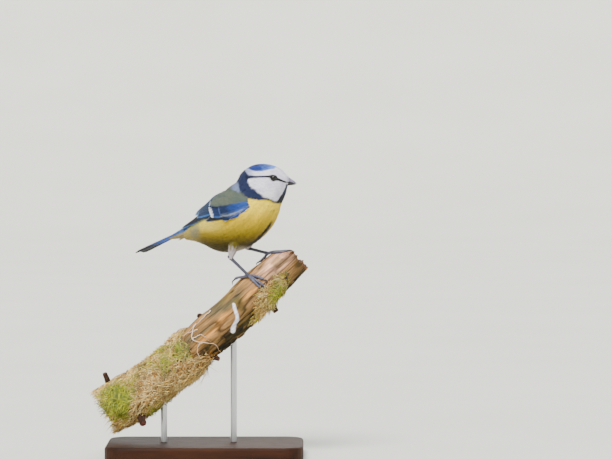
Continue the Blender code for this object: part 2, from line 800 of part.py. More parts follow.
def wood_mould(count, start, end, grow=GAP):
    """A length of the bare wood grown by the gap, which cuts what lies on it."""
    return lofted("mould", wood_rings(count, start, end, grow), "bark")


def twig(name, grow=0.0):
    """A broken side twig that stands out of the wood, with its girth grown by that much."""
    along, degrees, lean, length, radius = TWIGS[name]
    turn = math.radians(degrees)
    radius += grow
    _, line, _ = perch_frame(along)
    out = unit(perch_place(along, turn, 1) - perch_place(along, turn, 0))
    root = perch_place(along, turn, -radius * 1.5)
    tip = perch_place(along, turn, length) + line * lean
    path = [root, root + out * radius * 1.6, (root + out * radius + tip) / 2, tip]
    return tube(name, path, radius * np.array([1.5, 1.3, 1.05, 0.8]), "bark", 8)


def build_wood():
    """The branch with its broken side twigs."""
    wood = lofted("perch_wood", wood_rings(20), "bark")
    fused(wood, [twig(name) for name in TWIGS])
    finished(wood, "perch", 40)


def sleeve_depth(along, turn):
    """How deep the moss lies over the wood: less than nothing before its ragged start."""
    swell = 1 + 0.22 * np.sin(0.13 * along + 3 * np.cos(turn)) + 0.18 * np.cos(4 * turn + 0.09 * along)
    ragged = along + 3 * np.cos(2 * turn + 0.5) + 1.8 * np.cos(5 * turn)
    thin = 1.6 * blend_step(MOSS_START, MOSS_START + 6, ragged)
    return -0.6 + thin + MOSS_DEPTH * swell * blend_step(MOSS_START + 2, MOSS_START + 16, ragged)


def tuft_depth(along, turn):
    """How deep the cushion near the broken end lies over the wood: less than nothing past its rim."""
    ahead = along - TUFT_MIDDLE[0]
    across = np.degrees(turn) - TUFT_MIDDLE[1] - 0.7 * ahead
    far = ahead / (TUFT_REACH[0] + 3 * np.cos(7 * turn))
    wide = across / (TUFT_REACH[1] + 5 * np.sin(0.5 * along))
    return -0.7 + 3.4 * np.maximum(1 - wide**2 - far**2, 0) ** 0.6


def over_a_rod(place, out):
    """Whether a lock there would hang down onto one of the stand's rods."""
    near = any(math.hypot(place[0] - x, place[1]) < 7 for x in ROD_PLACES.values())
    return near and out[2] < 0


def moss_locks(draw, count, stretch, depth):
    """Bent, tapered locks spread evenly over a stretch of branch, with their roots sunk in the moss."""
    alongs, turns = stretch
    share = np.linspace(0, 1, 3)
    locks = []
    for i in range(count):
        along = float(between(alongs, (i * 0.618034) % 1))
        turn = float(between(turns, (i + 0.5) / count))
        height = float(depth(along, turn))
        root = perch_place(along, turn, height - 0.9)
        out = unit(perch_place(along, turn, 3) - perch_place(along, turn, 0))
        lean = unit([draw.uniform(-1, 0.5), draw.uniform(-1, 1), draw.uniform(-1, 0.6)])
        length = draw.uniform(*LOCK_LENGTH)
        radius = draw.uniform(*LOCK_RADIUS)
        if height < 0.9 or over_a_rod(root, out):
            continue
        path = root + np.outer(share * length, out) + np.outer(share**2 * length * 0.7, lean)
        locks.append(tube("lock", path, radius * (1 - 0.86 * share), "moss", 4))
    return locks


def sleeve(name, grow=0.0):
    """The moss round the branch without its locks, grown by that much."""
    turn = full_turn(MOSS_SIDES)[None, :]
    along = np.linspace(MOSS_START - 4, PERCH_LENGTH - 0.8, 13)[:, None]
    return lofted(name, perch_place(along, turn, sleeve_depth(along, turn) + grow), "moss")


def build_sleeve():
    """The moss round the lower stretch of the branch, cut to fit the wood and the twigs inside it."""
    moss = sleeve("perch_moss_sleeve")
    stretch = ((MOSS_START + 6, PERCH_LENGTH - 3), (0, 2 * math.pi))
    fused(moss, moss_locks(random.Random(SEED), SLEEVE_LOCKS, stretch, sleeve_depth), "MANIFOLD")
    mould = wood_mould(12, MOSS_START - 14, PERCH_LENGTH + 4, GAP + 0.05)
    fused(mould, [twig(name, GAP) for name in TWIGS_IN_MOSS])
    cut(moss, mould, solver="MANIFOLD")
    finished(moss, "perch", 40)


def build_tuft():
    """The cushion of moss under the near foot, cut clear of the wood and the toes."""
    along = np.linspace(8, 50, 12)[:, None]
    turn = np.radians(np.linspace(82, 186, 11))[None, :]
    along, turn = np.broadcast_arrays(along, turn)
    top = perch_place(along, turn, tuft_depth(along, turn))
    low = perch_place(along, turn, -2)
    tuft = lofted("perch_moss_tuft", np.concatenate([top, low[:, ::-1]], axis=1), "moss")
    stretch = ((12, 44), (math.radians(100), math.radians(168)))
    fused(tuft, moss_locks(random.Random(SEED + 1), TUFT_LOCKS, stretch, tuft_depth), "MANIFOLD")
    cut(tuft, wood_mould(13, 0, 60), solver="MANIFOLD")
    for pads, claw in FEET["right"]["toes"]:
        cut(tuft, *toe(pads, claw, GAP), solver="MANIFOLD")
    finished(tuft, "perch", 40)


# The legs and feet


def toe(toe_places, claw_places, grow=0.0):
    """A toe through places over the branch, and its hooked claw, grown by that much."""
    table = [perch_place(along, math.radians(turn), height) for along, turn, height in toe_places]
    path = smooth(table, np.linspace(0, len(table) - 1, 6))
    share = np.linspace(0, 1, 6)
    girths = TOE_RADIUS * (1.08 - 0.22 * share + 0.10 * np.cos(share * 5 * math.pi))
    root = path[-1] - unit(path[-1] - path[-2]) * 0.7
    hook = [perch_place(along, math.radians(turn), height) for along, turn, height in claw_places]
    hook = smooth([root] + hook, np.linspace(0, len(hook), 4))
    taper = CLAW_RADIUS * (1.15 - 0.9 * np.linspace(0, 1, 4))
    pads = tube("toe", path, girths + grow, "leg_skin", 6)
    return [pads, tube("claw", hook, taper + grow, "leg_skin", 4)]


def limb(name, places, girths, slot, sides=10, steps=9):
    """A length of leg through a few places."""
    path = smooth(places, np.linspace(0, len(places) - 1, steps))
    width = smooth(girths, np.linspace(0, len(girths) - 1, steps))
    return tube(name, path, width, slot, sides)


def thigh(name, knee, ankle, grow=0.0):
    """The feathered thigh, grown and lengthened by that much."""
    end = ankle + unit(ankle - knee) * grow
    girths = np.array(THIGH_GIRTHS) + grow
    return limb(name, [knee, (knee + ankle) / 2, end], girths, "yellow_feather", 12, 6)


def build_leg(name, foot):
    """The feathered thigh, the bare leg and the foot of one side."""
    ankle = bird_points(foot["ankle"])
    knee = bird_points(foot["knee"])
    along, turn, height = foot["joint"]
    joint = perch_place(along, math.radians(turn), height)
    down = unit(joint - ankle)

    upper = thigh(f"thigh_{name}", knee, ankle)
    cut(upper, body_mould(2, 8))
    finished(upper, "bird")

    start = ankle - down * 0.4
    end = joint - down * 1.2
    places = [start, start + down * 2, (start + end) / 2, end - down * 2, end]
    shank = limb(f"leg_{name}", places, [1.25, 0.95, LEG_RADIUS, 0.85, 0.98], "leg_skin")
    cut(shank, thigh("mould", knee, ankle, GAP), body_mould(2, 8))
    finished(shank, "bird")

    places = [joint - down * (1.2 - GAP), joint - down * 0.3, joint + down * 0.3]
    palm = limb(f"foot_{name}", places, [0.95, 1.15, 0.9], "leg_skin", 8, 5)
    fused(palm, [piece for pads, claw in foot["toes"] for piece in toe(pads, claw)])
    cut(palm, wood_mould(24, -0.5, 60))
    finished(palm, "bird")


# The stand


def build_base():
    """The flat base: a block with rounded corners and a softened upper rim."""
    wide, deep, tall = np.array(BASE_SIZE) * MM
    work = bmesh.new()
    bmesh.ops.create_cube(work, size=1)
    bmesh.ops.scale(work, vec=(wide, deep, tall), verts=work.verts)
    bmesh.ops.translate(work, vec=(0, 0, tall / 2), verts=work.verts)
    upright = [e for e in work.edges if abs(e.verts[0].co.z - e.verts[1].co.z) > tall / 2]
    bmesh.ops.bevel(work, geom=upright, offset=BASE_CORNER * MM, segments=6, profile=0.5, affect="EDGES")
    rim = [e for e in work.edges if all(v.co.z > tall * 0.99 for v in e.verts)]
    bmesh.ops.bevel(work, geom=rim, offset=BASE_EDGE * MM, segments=3, profile=0.5, affect="EDGES")
    finished(object_of("stand_base", work, "stand_wood"), "stand", 40)


def build_rods():
    """The rods, from just over the base up to the branch's underside."""
    for name, x in ROD_PLACES.items():
        row = np.interp(-x, [-place[0] for place in PERCH_LINE], np.arange(len(PERCH_LINE)))
        top = smooth(PERCH_LINE, row)[1]
        bottom = BASE_SIZE[2] + GAP
        work = bmesh.new()
        radius = ROD_RADIUS * MM
        depth = (top - bottom) * MM
        bmesh.ops.create_cone(
            work, cap_ends=True, segments=ROD_SIDES, radius1=radius, radius2=radius, depth=depth
        )
        bmesh.ops.translate(work, vec=(x * MM, 0, (top + bottom) / 2 * MM), verts=work.verts)
        rod = object_of(name, work, "stand_steel")
        along = row * PERCH_STEP
        cut(rod, wood_mould(14, along - 20, along + 20), sleeve("mould", GAP))
        finished(rod, "stand")


def main():
    clear_scene()
    group_empty("stand", (0, 0, 0))
    group_empty("perch", (PERCH_LINE[3][0], 0, PERCH_LINE[3][1]))
    group_empty("bird", TRUNK_CENTRE)
    build_trunk()
    build_head()
    build_eyes()
    build_bill()
    build_wings()
    build_tail()
    build_wood()
    build_sleeve()
    build_tuft()
    for name, foot in FEET.items():
        build_leg(name, foot)
    build_base()
    build_rods()


main()
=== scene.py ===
"""A blue tit on the broken end of a mossy branch, dressed for a studio picture.

Shapes are worked out in millimetres as whole arrays and scaled to metres as each mesh is made.
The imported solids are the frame: each piece here stands for some of them or lies on them.
"""

from __future__ import annotations

import logging
import math
from dataclasses import dataclass, field
from enum import Enum

import bpy
import numpy as np
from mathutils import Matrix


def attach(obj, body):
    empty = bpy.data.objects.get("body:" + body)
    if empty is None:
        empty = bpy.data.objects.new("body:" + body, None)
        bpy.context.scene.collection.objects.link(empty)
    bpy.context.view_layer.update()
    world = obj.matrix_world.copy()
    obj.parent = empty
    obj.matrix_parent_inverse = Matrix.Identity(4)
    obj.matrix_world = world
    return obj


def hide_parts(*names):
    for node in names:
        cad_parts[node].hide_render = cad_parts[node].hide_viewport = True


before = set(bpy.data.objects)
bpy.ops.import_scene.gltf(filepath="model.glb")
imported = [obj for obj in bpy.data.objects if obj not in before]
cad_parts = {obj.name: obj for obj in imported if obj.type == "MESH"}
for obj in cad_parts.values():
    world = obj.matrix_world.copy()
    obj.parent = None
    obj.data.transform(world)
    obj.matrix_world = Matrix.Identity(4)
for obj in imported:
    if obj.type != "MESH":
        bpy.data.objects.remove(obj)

Array = np.ndarray
Node, Socket = bpy.types.Node, bpy.types.NodeSocket
MM = 0.001
MAP_PATCH = 0.003
log = logging.getLogger("blue_tit")


class Side(Enum):
    """The bird's two sides, with the sign of their places in its own frame."""

    RIGHT = -1
    LEFT = 1


# Curves, directions and even spreads


def smooth(table: object, at: object) -> Array:
    """Reads a table's rows as one smooth curve.

    Between two rows the value is the cubic that passes both, with the slope at each row taken from its
    two neighbours.

    Args:
        table: Rows of numbers, or a plain list of numbers.
        at: Places on it, counted in rows, in any shape.

    Returns:
        The values there, with the row's own length as last axis.
    """
    table = np.asarray(table, float)
    if table.ndim == 1:
        return smooth(table[:, None], at)[..., 0]
    at = np.clip(np.asarray(at, float), 0, len(table) - 1)
    ends = np.vstack([2 * table[0] - table[1], table, 2 * table[-1] - table[-2]])
    row = np.minimum(at.astype(int), len(table) - 2)
    part = (at - row)[..., None]
    before, here, after, beyond = (ends[row + k] for k in range(4))
    return 0.5 * (
        2 * here
        + (after - before) * part
        + (2 * before - 5 * here + 4 * after - beyond) * part**2
        + (3 * here - before - 3 * after + beyond) * part**3
    )


def unit(vectors: Array) -> Array:
    """Gives the vectors at length 1: each one divided by the root of the sum of its squares."""
    vectors = np.asarray(vectors, float)
    return vectors / np.maximum(np.linalg.norm(vectors, axis=-1, keepdims=True), 1e-12)


def rise(low: float, high: float, at: object) -> Array:
    """Climbs smoothly from 0 to 1: three times the square of the share less twice its cube.

    Args:
        low: Where it starts to climb.
        high: Where it has reached 1, which may be less than low.
        at: The places asked for.

    Returns:
        The value at each place.
    """
    share = np.clip((np.asarray(at, float) - low) / (high - low), 0, 1)
    return share * share * (3 - 2 * share)


def blend(first: object, second: object, share: object) -> Array:
    """Mixes two colours or vectors.

    Args:
        first: The value where share is 0.
        second: The value where share is 1.
        share: How far towards the second, without the last axis.

    Returns:
        first + (second - first) * share, with the colour's own axis last.
    """
    share = np.asarray(share, float)[..., None]
    return np.asarray(first, float) + (np.asarray(second, float) - np.asarray(first, float)) * share


def between(pair: object, share: object) -> Array:
    """Gives the value that lies that share of the way from the first of a pair to the second."""
    first, second = (np.asarray(value, float) for value in pair)
    return first + (second - first) * share


def alike(*values: object) -> list[Array]:
    """Gives the values as arrays of one common shape."""
    return np.broadcast_arrays(*(np.asarray(value, float) for value in values))


def circle(sides: int) -> Array:
    """Gives evenly spread angles round a circle, from 0."""
    return np.arange(sides) * 2 * math.pi / sides


def scatter(count: int, columns: int, seed: int) -> Array:
    """Draws seeded random numbers from 0 to 1.

    Args:
        count: How many rows.
        columns: Numbers in each row.
        seed: The draw's seed.

    Returns:
        An array of count rows.
    """
    return np.random.default_rng(seed).random((count, columns))


def even_spread(count: int, seed: int) -> Array:
    """Spreads points evenly in a cube, without clumps.

    Each axis steps by its own power of 1 over 1.2207, kept to its part after the point, so that no two
    neighbours in the list lie close together.

    Args:
        count: How many points.
        seed: Shifts the whole spread.

    Returns:
        Three numbers from 0 to 1 in each row.
    """
    steps = 1 / 1.22074408460575947536 ** np.arange(1, 4)
    return (0.5 + 0.377 * seed + np.arange(count)[:, None] * steps) % 1


def mottle(points: Array, size: object, seed: int = 0) -> Array:
    """Smooth mottling from -1 to 1.

    Random values sit on a lattice of the given size, and a place takes the mean of its eight lattice
    corners, weighed by three times the square less twice the cube of its share across the cell.

    Args:
        points: Places in millimetres, with three numbers as last axis.
        size: The lattice's cell, one number or one for each axis.
        seed: Shifts the lattice.

    Returns:
        One value for each place.
    """
    place = np.asarray(points, float) / size + 37.17 * (seed + 1)
    cell = np.floor(place).astype(np.int64)
    part = place - cell
    part = part * part * (3 - 2 * part)
    total = np.zeros(place.shape[:-1])
    for corner in range(8):
        step = np.array([(corner >> k) & 1 for k in range(3)])
        key = ((cell + step) * (73856093, 19349663, 83492791)).sum(-1)
        key = ((key ^ (key >> 13)) * 1274126177) & 0x7FFFFFFF
        value = ((key ^ (key >> 15)) & 0xFFFF) / 32767.5 - 1
        total += value * np.prod(np.where(step, part, 1 - part), axis=-1)
    return total


def colour(red: float, green: float, blue: float) -> Array:
    """Turns a screen colour into linear light, deepened for the pale studio.

    Linear light is ((c / 255 + 0.055) / 1.055) to the power 2.4, and the deepening raises it to the power
    1.5 on top, which leaves whites alone and makes the rest richer.
    """
    return ((np.array([red, green, blue]) / 255 + 0.055) / 1.055) ** (2.4 * 1.5)


def shade(first: tuple, second: tuple, share: object) -> Array:
    """Mixes two screen colours in linear light."""
    return blend(colour(*first), colour(*second), share)


def patchy(points: Array, size: object, seed: int) -> Array:
    """Gives smooth mottling from 0 to 1, as a share between two colours."""
    return 0.5 + 0.5 * mottle(points, size, seed)


def on_map(share: object) -> Array:
    """Keeps a share from 0 to 1 off the bake map's borders."""
    return 0.03 + 0.94 * share


# Meshes from grids


def net(rows: int, columns: int, pieces: int = 1) -> Array:
    """Quads of open grids, each counted row by row.

    Args:
        rows: Corners along each grid.
        columns: Corners across it.
        pieces: How many grids follow one another.

    Returns:
        Four corner numbers for each quad.
    """
    index = np.arange(rows * columns).reshape(rows, columns)
    quads = np.stack([index[:-1, :-1], index[:-1, 1:], index[1:, 1:], index[1:, :-1]], axis=-1).reshape(-1, 4)
    return (quads[None] + (np.arange(pieces) * rows * columns)[:, None, None]).reshape(-1, 4)


def shell_net(rings: int, sides: int, pieces: int = 1) -> list[Array]:
    """Faces of closed shells: rings of corners, then one corner that closes each end.

    Args:
        rings: Rings along each shell.
        sides: Corners in each ring.
        pieces: How many shells follow one another.

    Returns:
        The quads between the rings and the triangles round both ends.
    """
    index = np.arange(rings * sides).reshape(rings, sides)
    turned = np.roll(index, -1, axis=1)
    quads = np.stack([index[:-1], turned[:-1], turned[1:], index[1:]], axis=-1).reshape(-1, 4)
    first = np.stack([turned[0], index[0], np.full(sides, rings * sides)], axis=-1)
    last = np.stack([index[-1], turned[-1], np.full(sides, rings * sides + 1)], axis=-1)
    steps = (np.arange(pieces) * (rings * sides + 2))[:, None, None]
    return [(faces[None] + steps).reshape(-1, faces.shape[1]) for faces in (quads, np.vstack([first, last]))]


def shell_corners(rings: Array) -> Array:
    """Lists the corners of closed shells, as shell_net numbers them.

    Args:
        rings: Any value at each corner, shaped (pieces, rings, sides, numbers).

    Returns:
        The same, shaped (pieces, corners, numbers), with the mean of the end rings at the two ends.
    """
    pieces, _, _, numbers = rings.shape
    ends = np.stack([rings[:, 0].mean(axis=1), rings[:, -1].mean(axis=1)], axis=1)
    return np.concatenate([rings.reshape(pieces, -1, numbers), ends], axis=1)


def tube_rings(path: Array, radii: Array, over: Array, sides: int) -> Array:
    """Carries a round profile along paths.

    A corner lies at the path's point plus the radius times (cosine of its turn times the upper direction
    plus sine of its turn times the side direction).

    Args:
        path: Points shaped (pieces, rows, 3).
        radii: Radii that broadcast to (pieces, rows, sides).
        over: The direction that turn 0 faces, which broadcasts to the path.
        sides: Corners round the profile.

    Returns:
        Corners shaped (pieces, rows, sides, 3).
    """
    ahead = unit(np.gradient(path, axis=1))
    across = unit(np.cross(ahead, np.broadcast_to(over, path.shape)))
    upper = np.cross(across, ahead)
    turn = circle(sides)
    ring = np.cos(turn)[:, None] * upper[:, :, None] + np.sin(turn)[:, None] * across[:, :, None]
    return path[:, :, None] + np.asarray(radii)[..., None] * ring


@dataclass
class Weave:
    """A mesh being gathered from grids, in millimetres, with a tint and two maps at each corner."""

    points: list[Array] = field(default_factory=list)
    faces: list[Array] = field(default_factory=list)
    tints: list[Array] = field(default_factory=list)
    lies: list[Array] = field(default_factory=list)
    bakes: list[Array] = field(default_factory=list)
    count: int = 0

    def add(self, points: Array, faces: list[Array], tint: Array, lie: Array = None, bake: Array = None) -> None:
        """Adds one batch of corners and faces.

        Args:
            points: Corners, with three numbers as last axis.
            faces: Arrays of corner numbers within this batch.
            tint: Linear colours that broadcast to the corners.
            lie: Where each corner lies across and along its feather, in millimetres.
            bake: Where each corner lies on the bake's own map.
        """
        flat = points.reshape(-1, 3)
        self.points.append(flat)
        self.tints.append(np.broadcast_to(tint, points.shape).reshape(-1, 3))
        for store, values in ((self.lies, lie), (self.bakes, bake)):
            if values is not None:
                store.append(np.broadcast_to(values, (*points.shape[:-1], 2)).reshape(-1, 2))
        self.faces += [batch + self.count for batch in faces]
        self.count += len(flat)

    def shells(self, rings: Array, tint: Array, lie: Array = None, bake: Array = None) -> None:
        """Adds closed shells.

        Args:
            rings: Corners shaped (pieces, rings, sides, 3), or one shell's without the first axis.
            tint: Linear colours that broadcast to the corners.
            lie: As for add, with the corners' own first three axes.
            bake: As lie.
        """
        rings = rings if rings.ndim == 4 else rings[None]
        pieces, count, sides, _ = rings.shape
        maps = [None if values is None else shell_corners(values) for values in (lie, bake)]
        tint = shell_corners(np.broadcast_to(tint, rings.shape))
        self.add(shell_corners(rings), shell_net(count, sides, pieces), tint, *maps)

    def make(
        self, name: str, finish: "Finish", slot: str, *replaces: str, inflate: bool = True
    ) -> bpy.types.Object:
        """Puts the gathered arrays into a mesh object that rides on the body.

        Args:
            name: The piece's name.
            finish: What it is dressed in.
            slot: The record's material slot; not used.
            *replaces: The solids that it stands for.
            inflate: Whether a shell whose volume comes out negative has its faces turned round.

        Returns:
            The new object.
        """
        points = np.concatenate(self.points)
        faces = self.faces
        if inflate and signed_volume(points, faces) < 0:
            faces = [batch[:, ::-1] for batch in faces]
        loops = np.concatenate([batch.ravel() for batch in faces])
        sizes = np.concatenate([np.full(len(batch), batch.shape[1]) for batch in faces])
        mesh = bpy.data.meshes.new(name)
        mesh.vertices.add(len(points))
        mesh.vertices.foreach_set("co", (points * MM).astype(np.float32).ravel())
        mesh.loops.add(len(loops))
        mesh.loops.foreach_set("vertex_index", loops.astype(np.int32))
        mesh.polygons.add(len(sizes))
        mesh.polygons.foreach_set("loop_start", (np.cumsum(sizes) - sizes).astype(np.int32))
        mesh.update(calc_edges=True)
        mesh.shade_smooth()
        tints = np.concatenate(self.tints)
        tints = np.concatenate([np.clip(tints, 0, 1), np.ones((len(tints), 1))], axis=1)
        layer = mesh.attributes.new("tint", "FLOAT_COLOR", "POINT")
        layer.data.foreach_set("color", tints.astype(np.float32).ravel())
        for title, store in (("OFBake", self.bakes), ("Lie", self.lies)):
            if store:
                places = np.concatenate(store)[loops].astype(np.float32)
                mesh.uv_layers.new(name=title).data.foreach_set("uv", places.ravel())
        mesh.materials.append(finish.material())
        obj = bpy.data.objects.new(name, mesh)
        bpy.context.scene.collection.objects.link(obj)
        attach(obj, "root")
        if replaces:
            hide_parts(*replaces)
        log.info("%s: %d corners, %d faces", name, len(points), len(sizes))
        return obj


def signed_volume(points: Array, faces: list[Array]) -> float:
    """Sums each face's corner a times the cross product of its next two, over six, as a fan of triangles."""
    total = 0.0
    for batch in faces:
        for k in range(1, batch.shape[1] - 1):
            a, b, c = (points[batch[:, i]] for i in (0, k, k + 1))
            total += float(np.einsum("ij,ij->", a, np.cross(b, c)))
    return total / 6


# Finishes


@dataclass(frozen=True)
class Finish:
    """A finish made of nodes. The numbers that are the same all over sit on the shader itself."""

    name: str
    roughness: float
    fixed: tuple = ()

    def material(self) -> bpy.types.Material:
        """Gives the finish's material, mixed the first time that it is asked for."""
        found = bpy.data.materials.get(self.name)
        if found:
            return found
        made = bpy.data.materials.new(self.name)
        made.use_nodes = True
        shader = made.node_tree.nodes["Principled BSDF"]
        for socket, value in (("Roughness", self.roughness), *self.fixed):
            shader.inputs[socket].default_value = value
        self.mix(Bench(made.node_tree, shader))
        return made

    def mix(self, bench: "Bench") -> None:
        """Links the nodes that paint this finish on its bench."""
        raise NotImplementedError


@dataclass
class Bench:
    """Sets out and links the nodes of one material."""

    tree: bpy.types.NodeTree
    shader: Node

    def node(self, kind: str, inputs: dict, out: str | int, **settings: object) -> Socket:
        """Adds a node and fills its inputs.

        Args:
            kind: The node's kind, without its first word.
            inputs: Sockets or plain values by the inputs' names or numbers.
            out: The output asked for.
            **settings: The node's own settings.

        Returns:
            That output's socket.
        """
        made = self.tree.nodes.new("ShaderNode" + kind)
        for key, value in settings.items():
            setattr(made, key, value)
        for key, value in inputs.items():
            self.link(value, made.inputs[key])
        return made.outputs[out]

    def link(self, source: object, target: Socket) -> None:
        """Links a socket to a socket, or sets the target to a plain value."""
        if isinstance(source, bpy.types.NodeSocket):
            self.tree.links.new(source, target)
        else:
            target.default_value = source

    def place(self) -> Socket:
        """Object coordinates, in metres."""
        return self.node("TexCoord", {}, "Object")

    def lie(self) -> Socket:
        """The place across and along a feather, in millimetres."""
        return self.node("UVMap", {}, "UV", uv_map="Lie")

    def noise(self, place: Socket, scale: tuple | float, detail: float = 2.0, turn: tuple = (0, 0, 0)) -> Socket:
        """Noise from 0 to 1 over places that are turned first and then scaled."""
        if isinstance(scale, tuple):
            turned = self.node("Mapping", {"Vector": place, "Rotation": turn}, "Vector")
            place, scale = self.node("Mapping", {"Vector": turned, "Scale": scale}, "Vector"), 1.0
        return self.node("TexNoise", {"Vector": place, "Scale": scale, "Detail": detail}, "Fac")

    def spread(self, value: Socket, to: tuple = (0.0, 1.0), reach: tuple = (0.3, 0.7)) -> Socket:
        """Maps a value from its reach to the two ends of a new range, and holds it there."""
        ends = {"From Min": reach[0], "From Max": reach[1], "To Min": to[0], "To Max": to[1]}
        return self.node("MapRange", {"Value": value, **ends}, "Result")

    def sum(self, kind: str, first: object, second: object) -> Socket:
        """A sum on two values."""
        return self.node("Math", {0: first, 1: second}, 0, operation=kind)

    def mixed(self, share: Socket, first: tuple, second: tuple) -> Socket:
        """Two colours mixed."""
        inputs = {"Factor": share, "A": (*first, 1), "B": (*second, 1)}
        return self.node("Mix", inputs, "Result", data_type="RGBA", blend_type="MIX")

    def dress(self, pattern: Socket, swing: tuple, reach: tuple = (0.3, 0.7)) -> None:
        """Paints the piece's own tint, made darker and lighter by a pattern.

        Args:
            pattern: The pattern from 0 to 1.
            swing: What the tint is multiplied by at both ends of the reach.
            reach: The pattern's values that count as its ends.
        """
        tint = self.node("VertexColor", {}, "Color", layer_name="tint")
        tone = self.spread(pattern, swing, reach)
        self.paint(self.node("VectorMath", {0: tint, "Scale": tone}, 0, operation="SCALE"))

    def paint(self, base: Socket) -> None:
        """Feeds the shader's colour."""
        self.link(base, self.shader.inputs["Base Color"])

    def rough(self, value: Socket) -> None:
        """Feeds the shader's roughness."""
        self.link(value, self.shader.inputs["Roughness"])

    def bump(self, height: Socket, depth: float) -> None:
        """Raises the surface by that height, at most depth millimetres."""
        inputs = {"Strength": 1.0, "Distance": depth * MM, "Height": height}
        self.link(self.node("Bump", inputs, "Normal"), self.shader.inputs["Normal"])


@dataclass(frozen=True)
class GrainFinish(Finish):
    """The piece's own tint under one fine noise, which also raises the surface."""

    grain: tuple | float = 1.0
    detail: float = 2.0
    swing: tuple = (0.7, 1.3)
    depth: float = 0.0
    on_feather: bool = False
    rougher: float = 0.0

    def mix(self, bench: Bench) -> None:
        """Lays the noise on the feather's lie or on the piece, for tone, bump and roughness."""
        fine = bench.noise(bench.lie() if self.on_feather else bench.place(), self.grain, self.detail)
        bench.dress(fine, self.swing)
        if self.depth:
            bench.bump(fine, self.depth)
        if self.rougher:
            bench.rough(bench.spread(fine, (self.roughness, self.roughness + self.rougher)))


@dataclass(frozen=True)
class VaneFinish(Finish):
    """A firm flight feather: barbs that leave the shaft aslant, as fine light and dark lines."""

    slant: float = 1.6
    barbs: float = 5.5

    def mix(self, bench: Bench) -> None:
        """Reads noise at the place along less the slant times the place out from the shaft."""
        lie = bench.lie()
        across, along = (bench.node("SeparateXYZ", {0: lie}, axis) for axis in "XY")
        out = bench.sum("MULTIPLY", bench.sum("ABSOLUTE", across, 0.0), self.slant)
        barb = bench.sum("MULTIPLY", bench.sum("SUBTRACT", along, out), self.barbs)
        place = bench.node("CombineXYZ", {"X": barb, "Y": bench.sum("MULTIPLY", across, 0.5)}, 0)
        lines = bench.noise(place, 1.0, 1.0)
        bench.dress(lines, (0.82, 1.18))
        bench.bump(lines, 0.06)


@dataclass(frozen=True)
class WoodFinish(Finish):
    """Weathered wood and bark, whose tint already has the large marks, with fibre and pores."""

    lean: float = math.radians(42)

    def mix(self, bench: Bench) -> None:
        """Adds fibres along the branch's lean and a quarter of the pores."""
        fibre = bench.noise(bench.place(), (110, 1300, 1300), 4.0, (0, self.lean, 0))
        pores = bench.sum("MULTIPLY", bench.noise(bench.place(), 2600.0), 0.25)
        height = bench.sum("ADD", fibre, pores)
        bench.dress(height, (0.5, 1.4), (0.42, 0.88))
        bench.bump(height, 0.5)


@dataclass(frozen=True)
class WalnutFinish(Finish):
    """The base's dark oiled wood, with rings and pores along its length."""

    def mix(self, bench: Bench) -> None:
        """Mixes a dark and a light brown by the rings and a quarter of the pores."""
        rings = bench.noise(bench.place(), (14, 170, 120), 5.0)
        pores = bench.noise(bench.place(), (120, 2400, 2400))
        both = bench.sum("ADD", rings, bench.sum("MULTIPLY", pores, 0.25))
        share = bench.spread(both, reach=(0.4, 0.85))
        bench.paint(bench.mixed(share, colour(40, 26, 18), colour(98, 66, 44)))
        bench.rough(bench.spread(pores, (0.5, 0.68)))
        bench.bump(pores, 0.04)


@dataclass(frozen=True)
class SteelFinish(Finish):
    """The rods' steel, drawn lengthwise."""

    def mix(self, bench: Bench) -> None:
        """Mixes two greys by fine upright lines."""
        lines = bench.noise(bench.place(), (9000, 9000, 60))
        bench.paint(bench.mixed(bench.spread(lines), (0.42, 0.43, 0.45), (0.62, 0.63, 0.65)))
        bench.rough(bench.spread(lines, (0.26, 0.4)))
        bench.bump(lines, 0.01)


@dataclass(frozen=True)
class PaperFinish(Finish):
    """The studio's pale floor, faintly mottled."""

    def mix(self, bench: Bench) -> None:
        """Mixes two near whites by a broad noise."""
        fine = bench.noise(bench.place(), 6.0)
        bench.paint(bench.mixed(fine, colour(222, 222, 216), colour(230, 230, 225)))
        bench.bump(fine, 0.1)


GLOSS, SHEEN, COAT = "Specular IOR Level", "Sheen Weight", "Coat Weight"
SKIN_GRAIN = {"grain": 1400.0, "swing": (0.7, 1.0), "depth": 0.1}
HORN_GRAIN = {"grain": (400, 400, 1500), "detail": 3.0, "swing": (0.86, 1.12), "depth": 0.03, "rougher": 0.15}
DOWN = GrainFinish(
    "down", 0.8, ((SHEEN, 0.14), ("Sheen Roughness", 0.5), (GLOSS, 0.3)),
    grain=(9.0, 0.8, 1.0), swing=(0.72, 1.28), depth=0.05, on_feather=True,
)  # fmt: skip
BRISTLE = GrainFinish("bristle_down", 0.8, **SKIN_GRAIN)
LID = GrainFinish("bare_lid", 0.7, **SKIN_GRAIN)
SKIN = GrainFinish("skin", 0.9, **SKIN_GRAIN)
VANES = VaneFinish("flight_vanes", 0.55, ((SHEEN, 0.05), (GLOSS, 0.25)))
HORN = GrainFinish("bill_keratin", 0.38, ((COAT, 0.2),), **HORN_GRAIN)
CLAW = GrainFinish("claw_horn", 0.3, ((COAT, 0.3),), **HORN_GRAIN)
SCALES = GrainFinish("leg_scales", 0.5, ((COAT, 0.08),), **HORN_GRAIN)
EYE = GrainFinish("eye_wet", 0.1, ((COAT, 0.3), ("Coat Roughness", 0.02), (GLOSS, 0.25)), grain=3500.0)
WOOD = WoodFinish("weathered_wood", 0.85, ((GLOSS, 0.25),))
MOSS = GrainFinish("moss_strands", 0.8, ((GLOSS, 0.25), (SHEEN, 0.2)), grain=1800.0, swing=(0.75, 1.2), depth=0.1)
WALNUT = WalnutFinish("base_walnut", 0.4, ((GLOSS, 0.15),))
STEEL = SteelFinish("rod_steel", 0.32, (("Metallic", 1.0),))
PAPER = PaperFinish("studio_paper", 0.9)


# Where things are


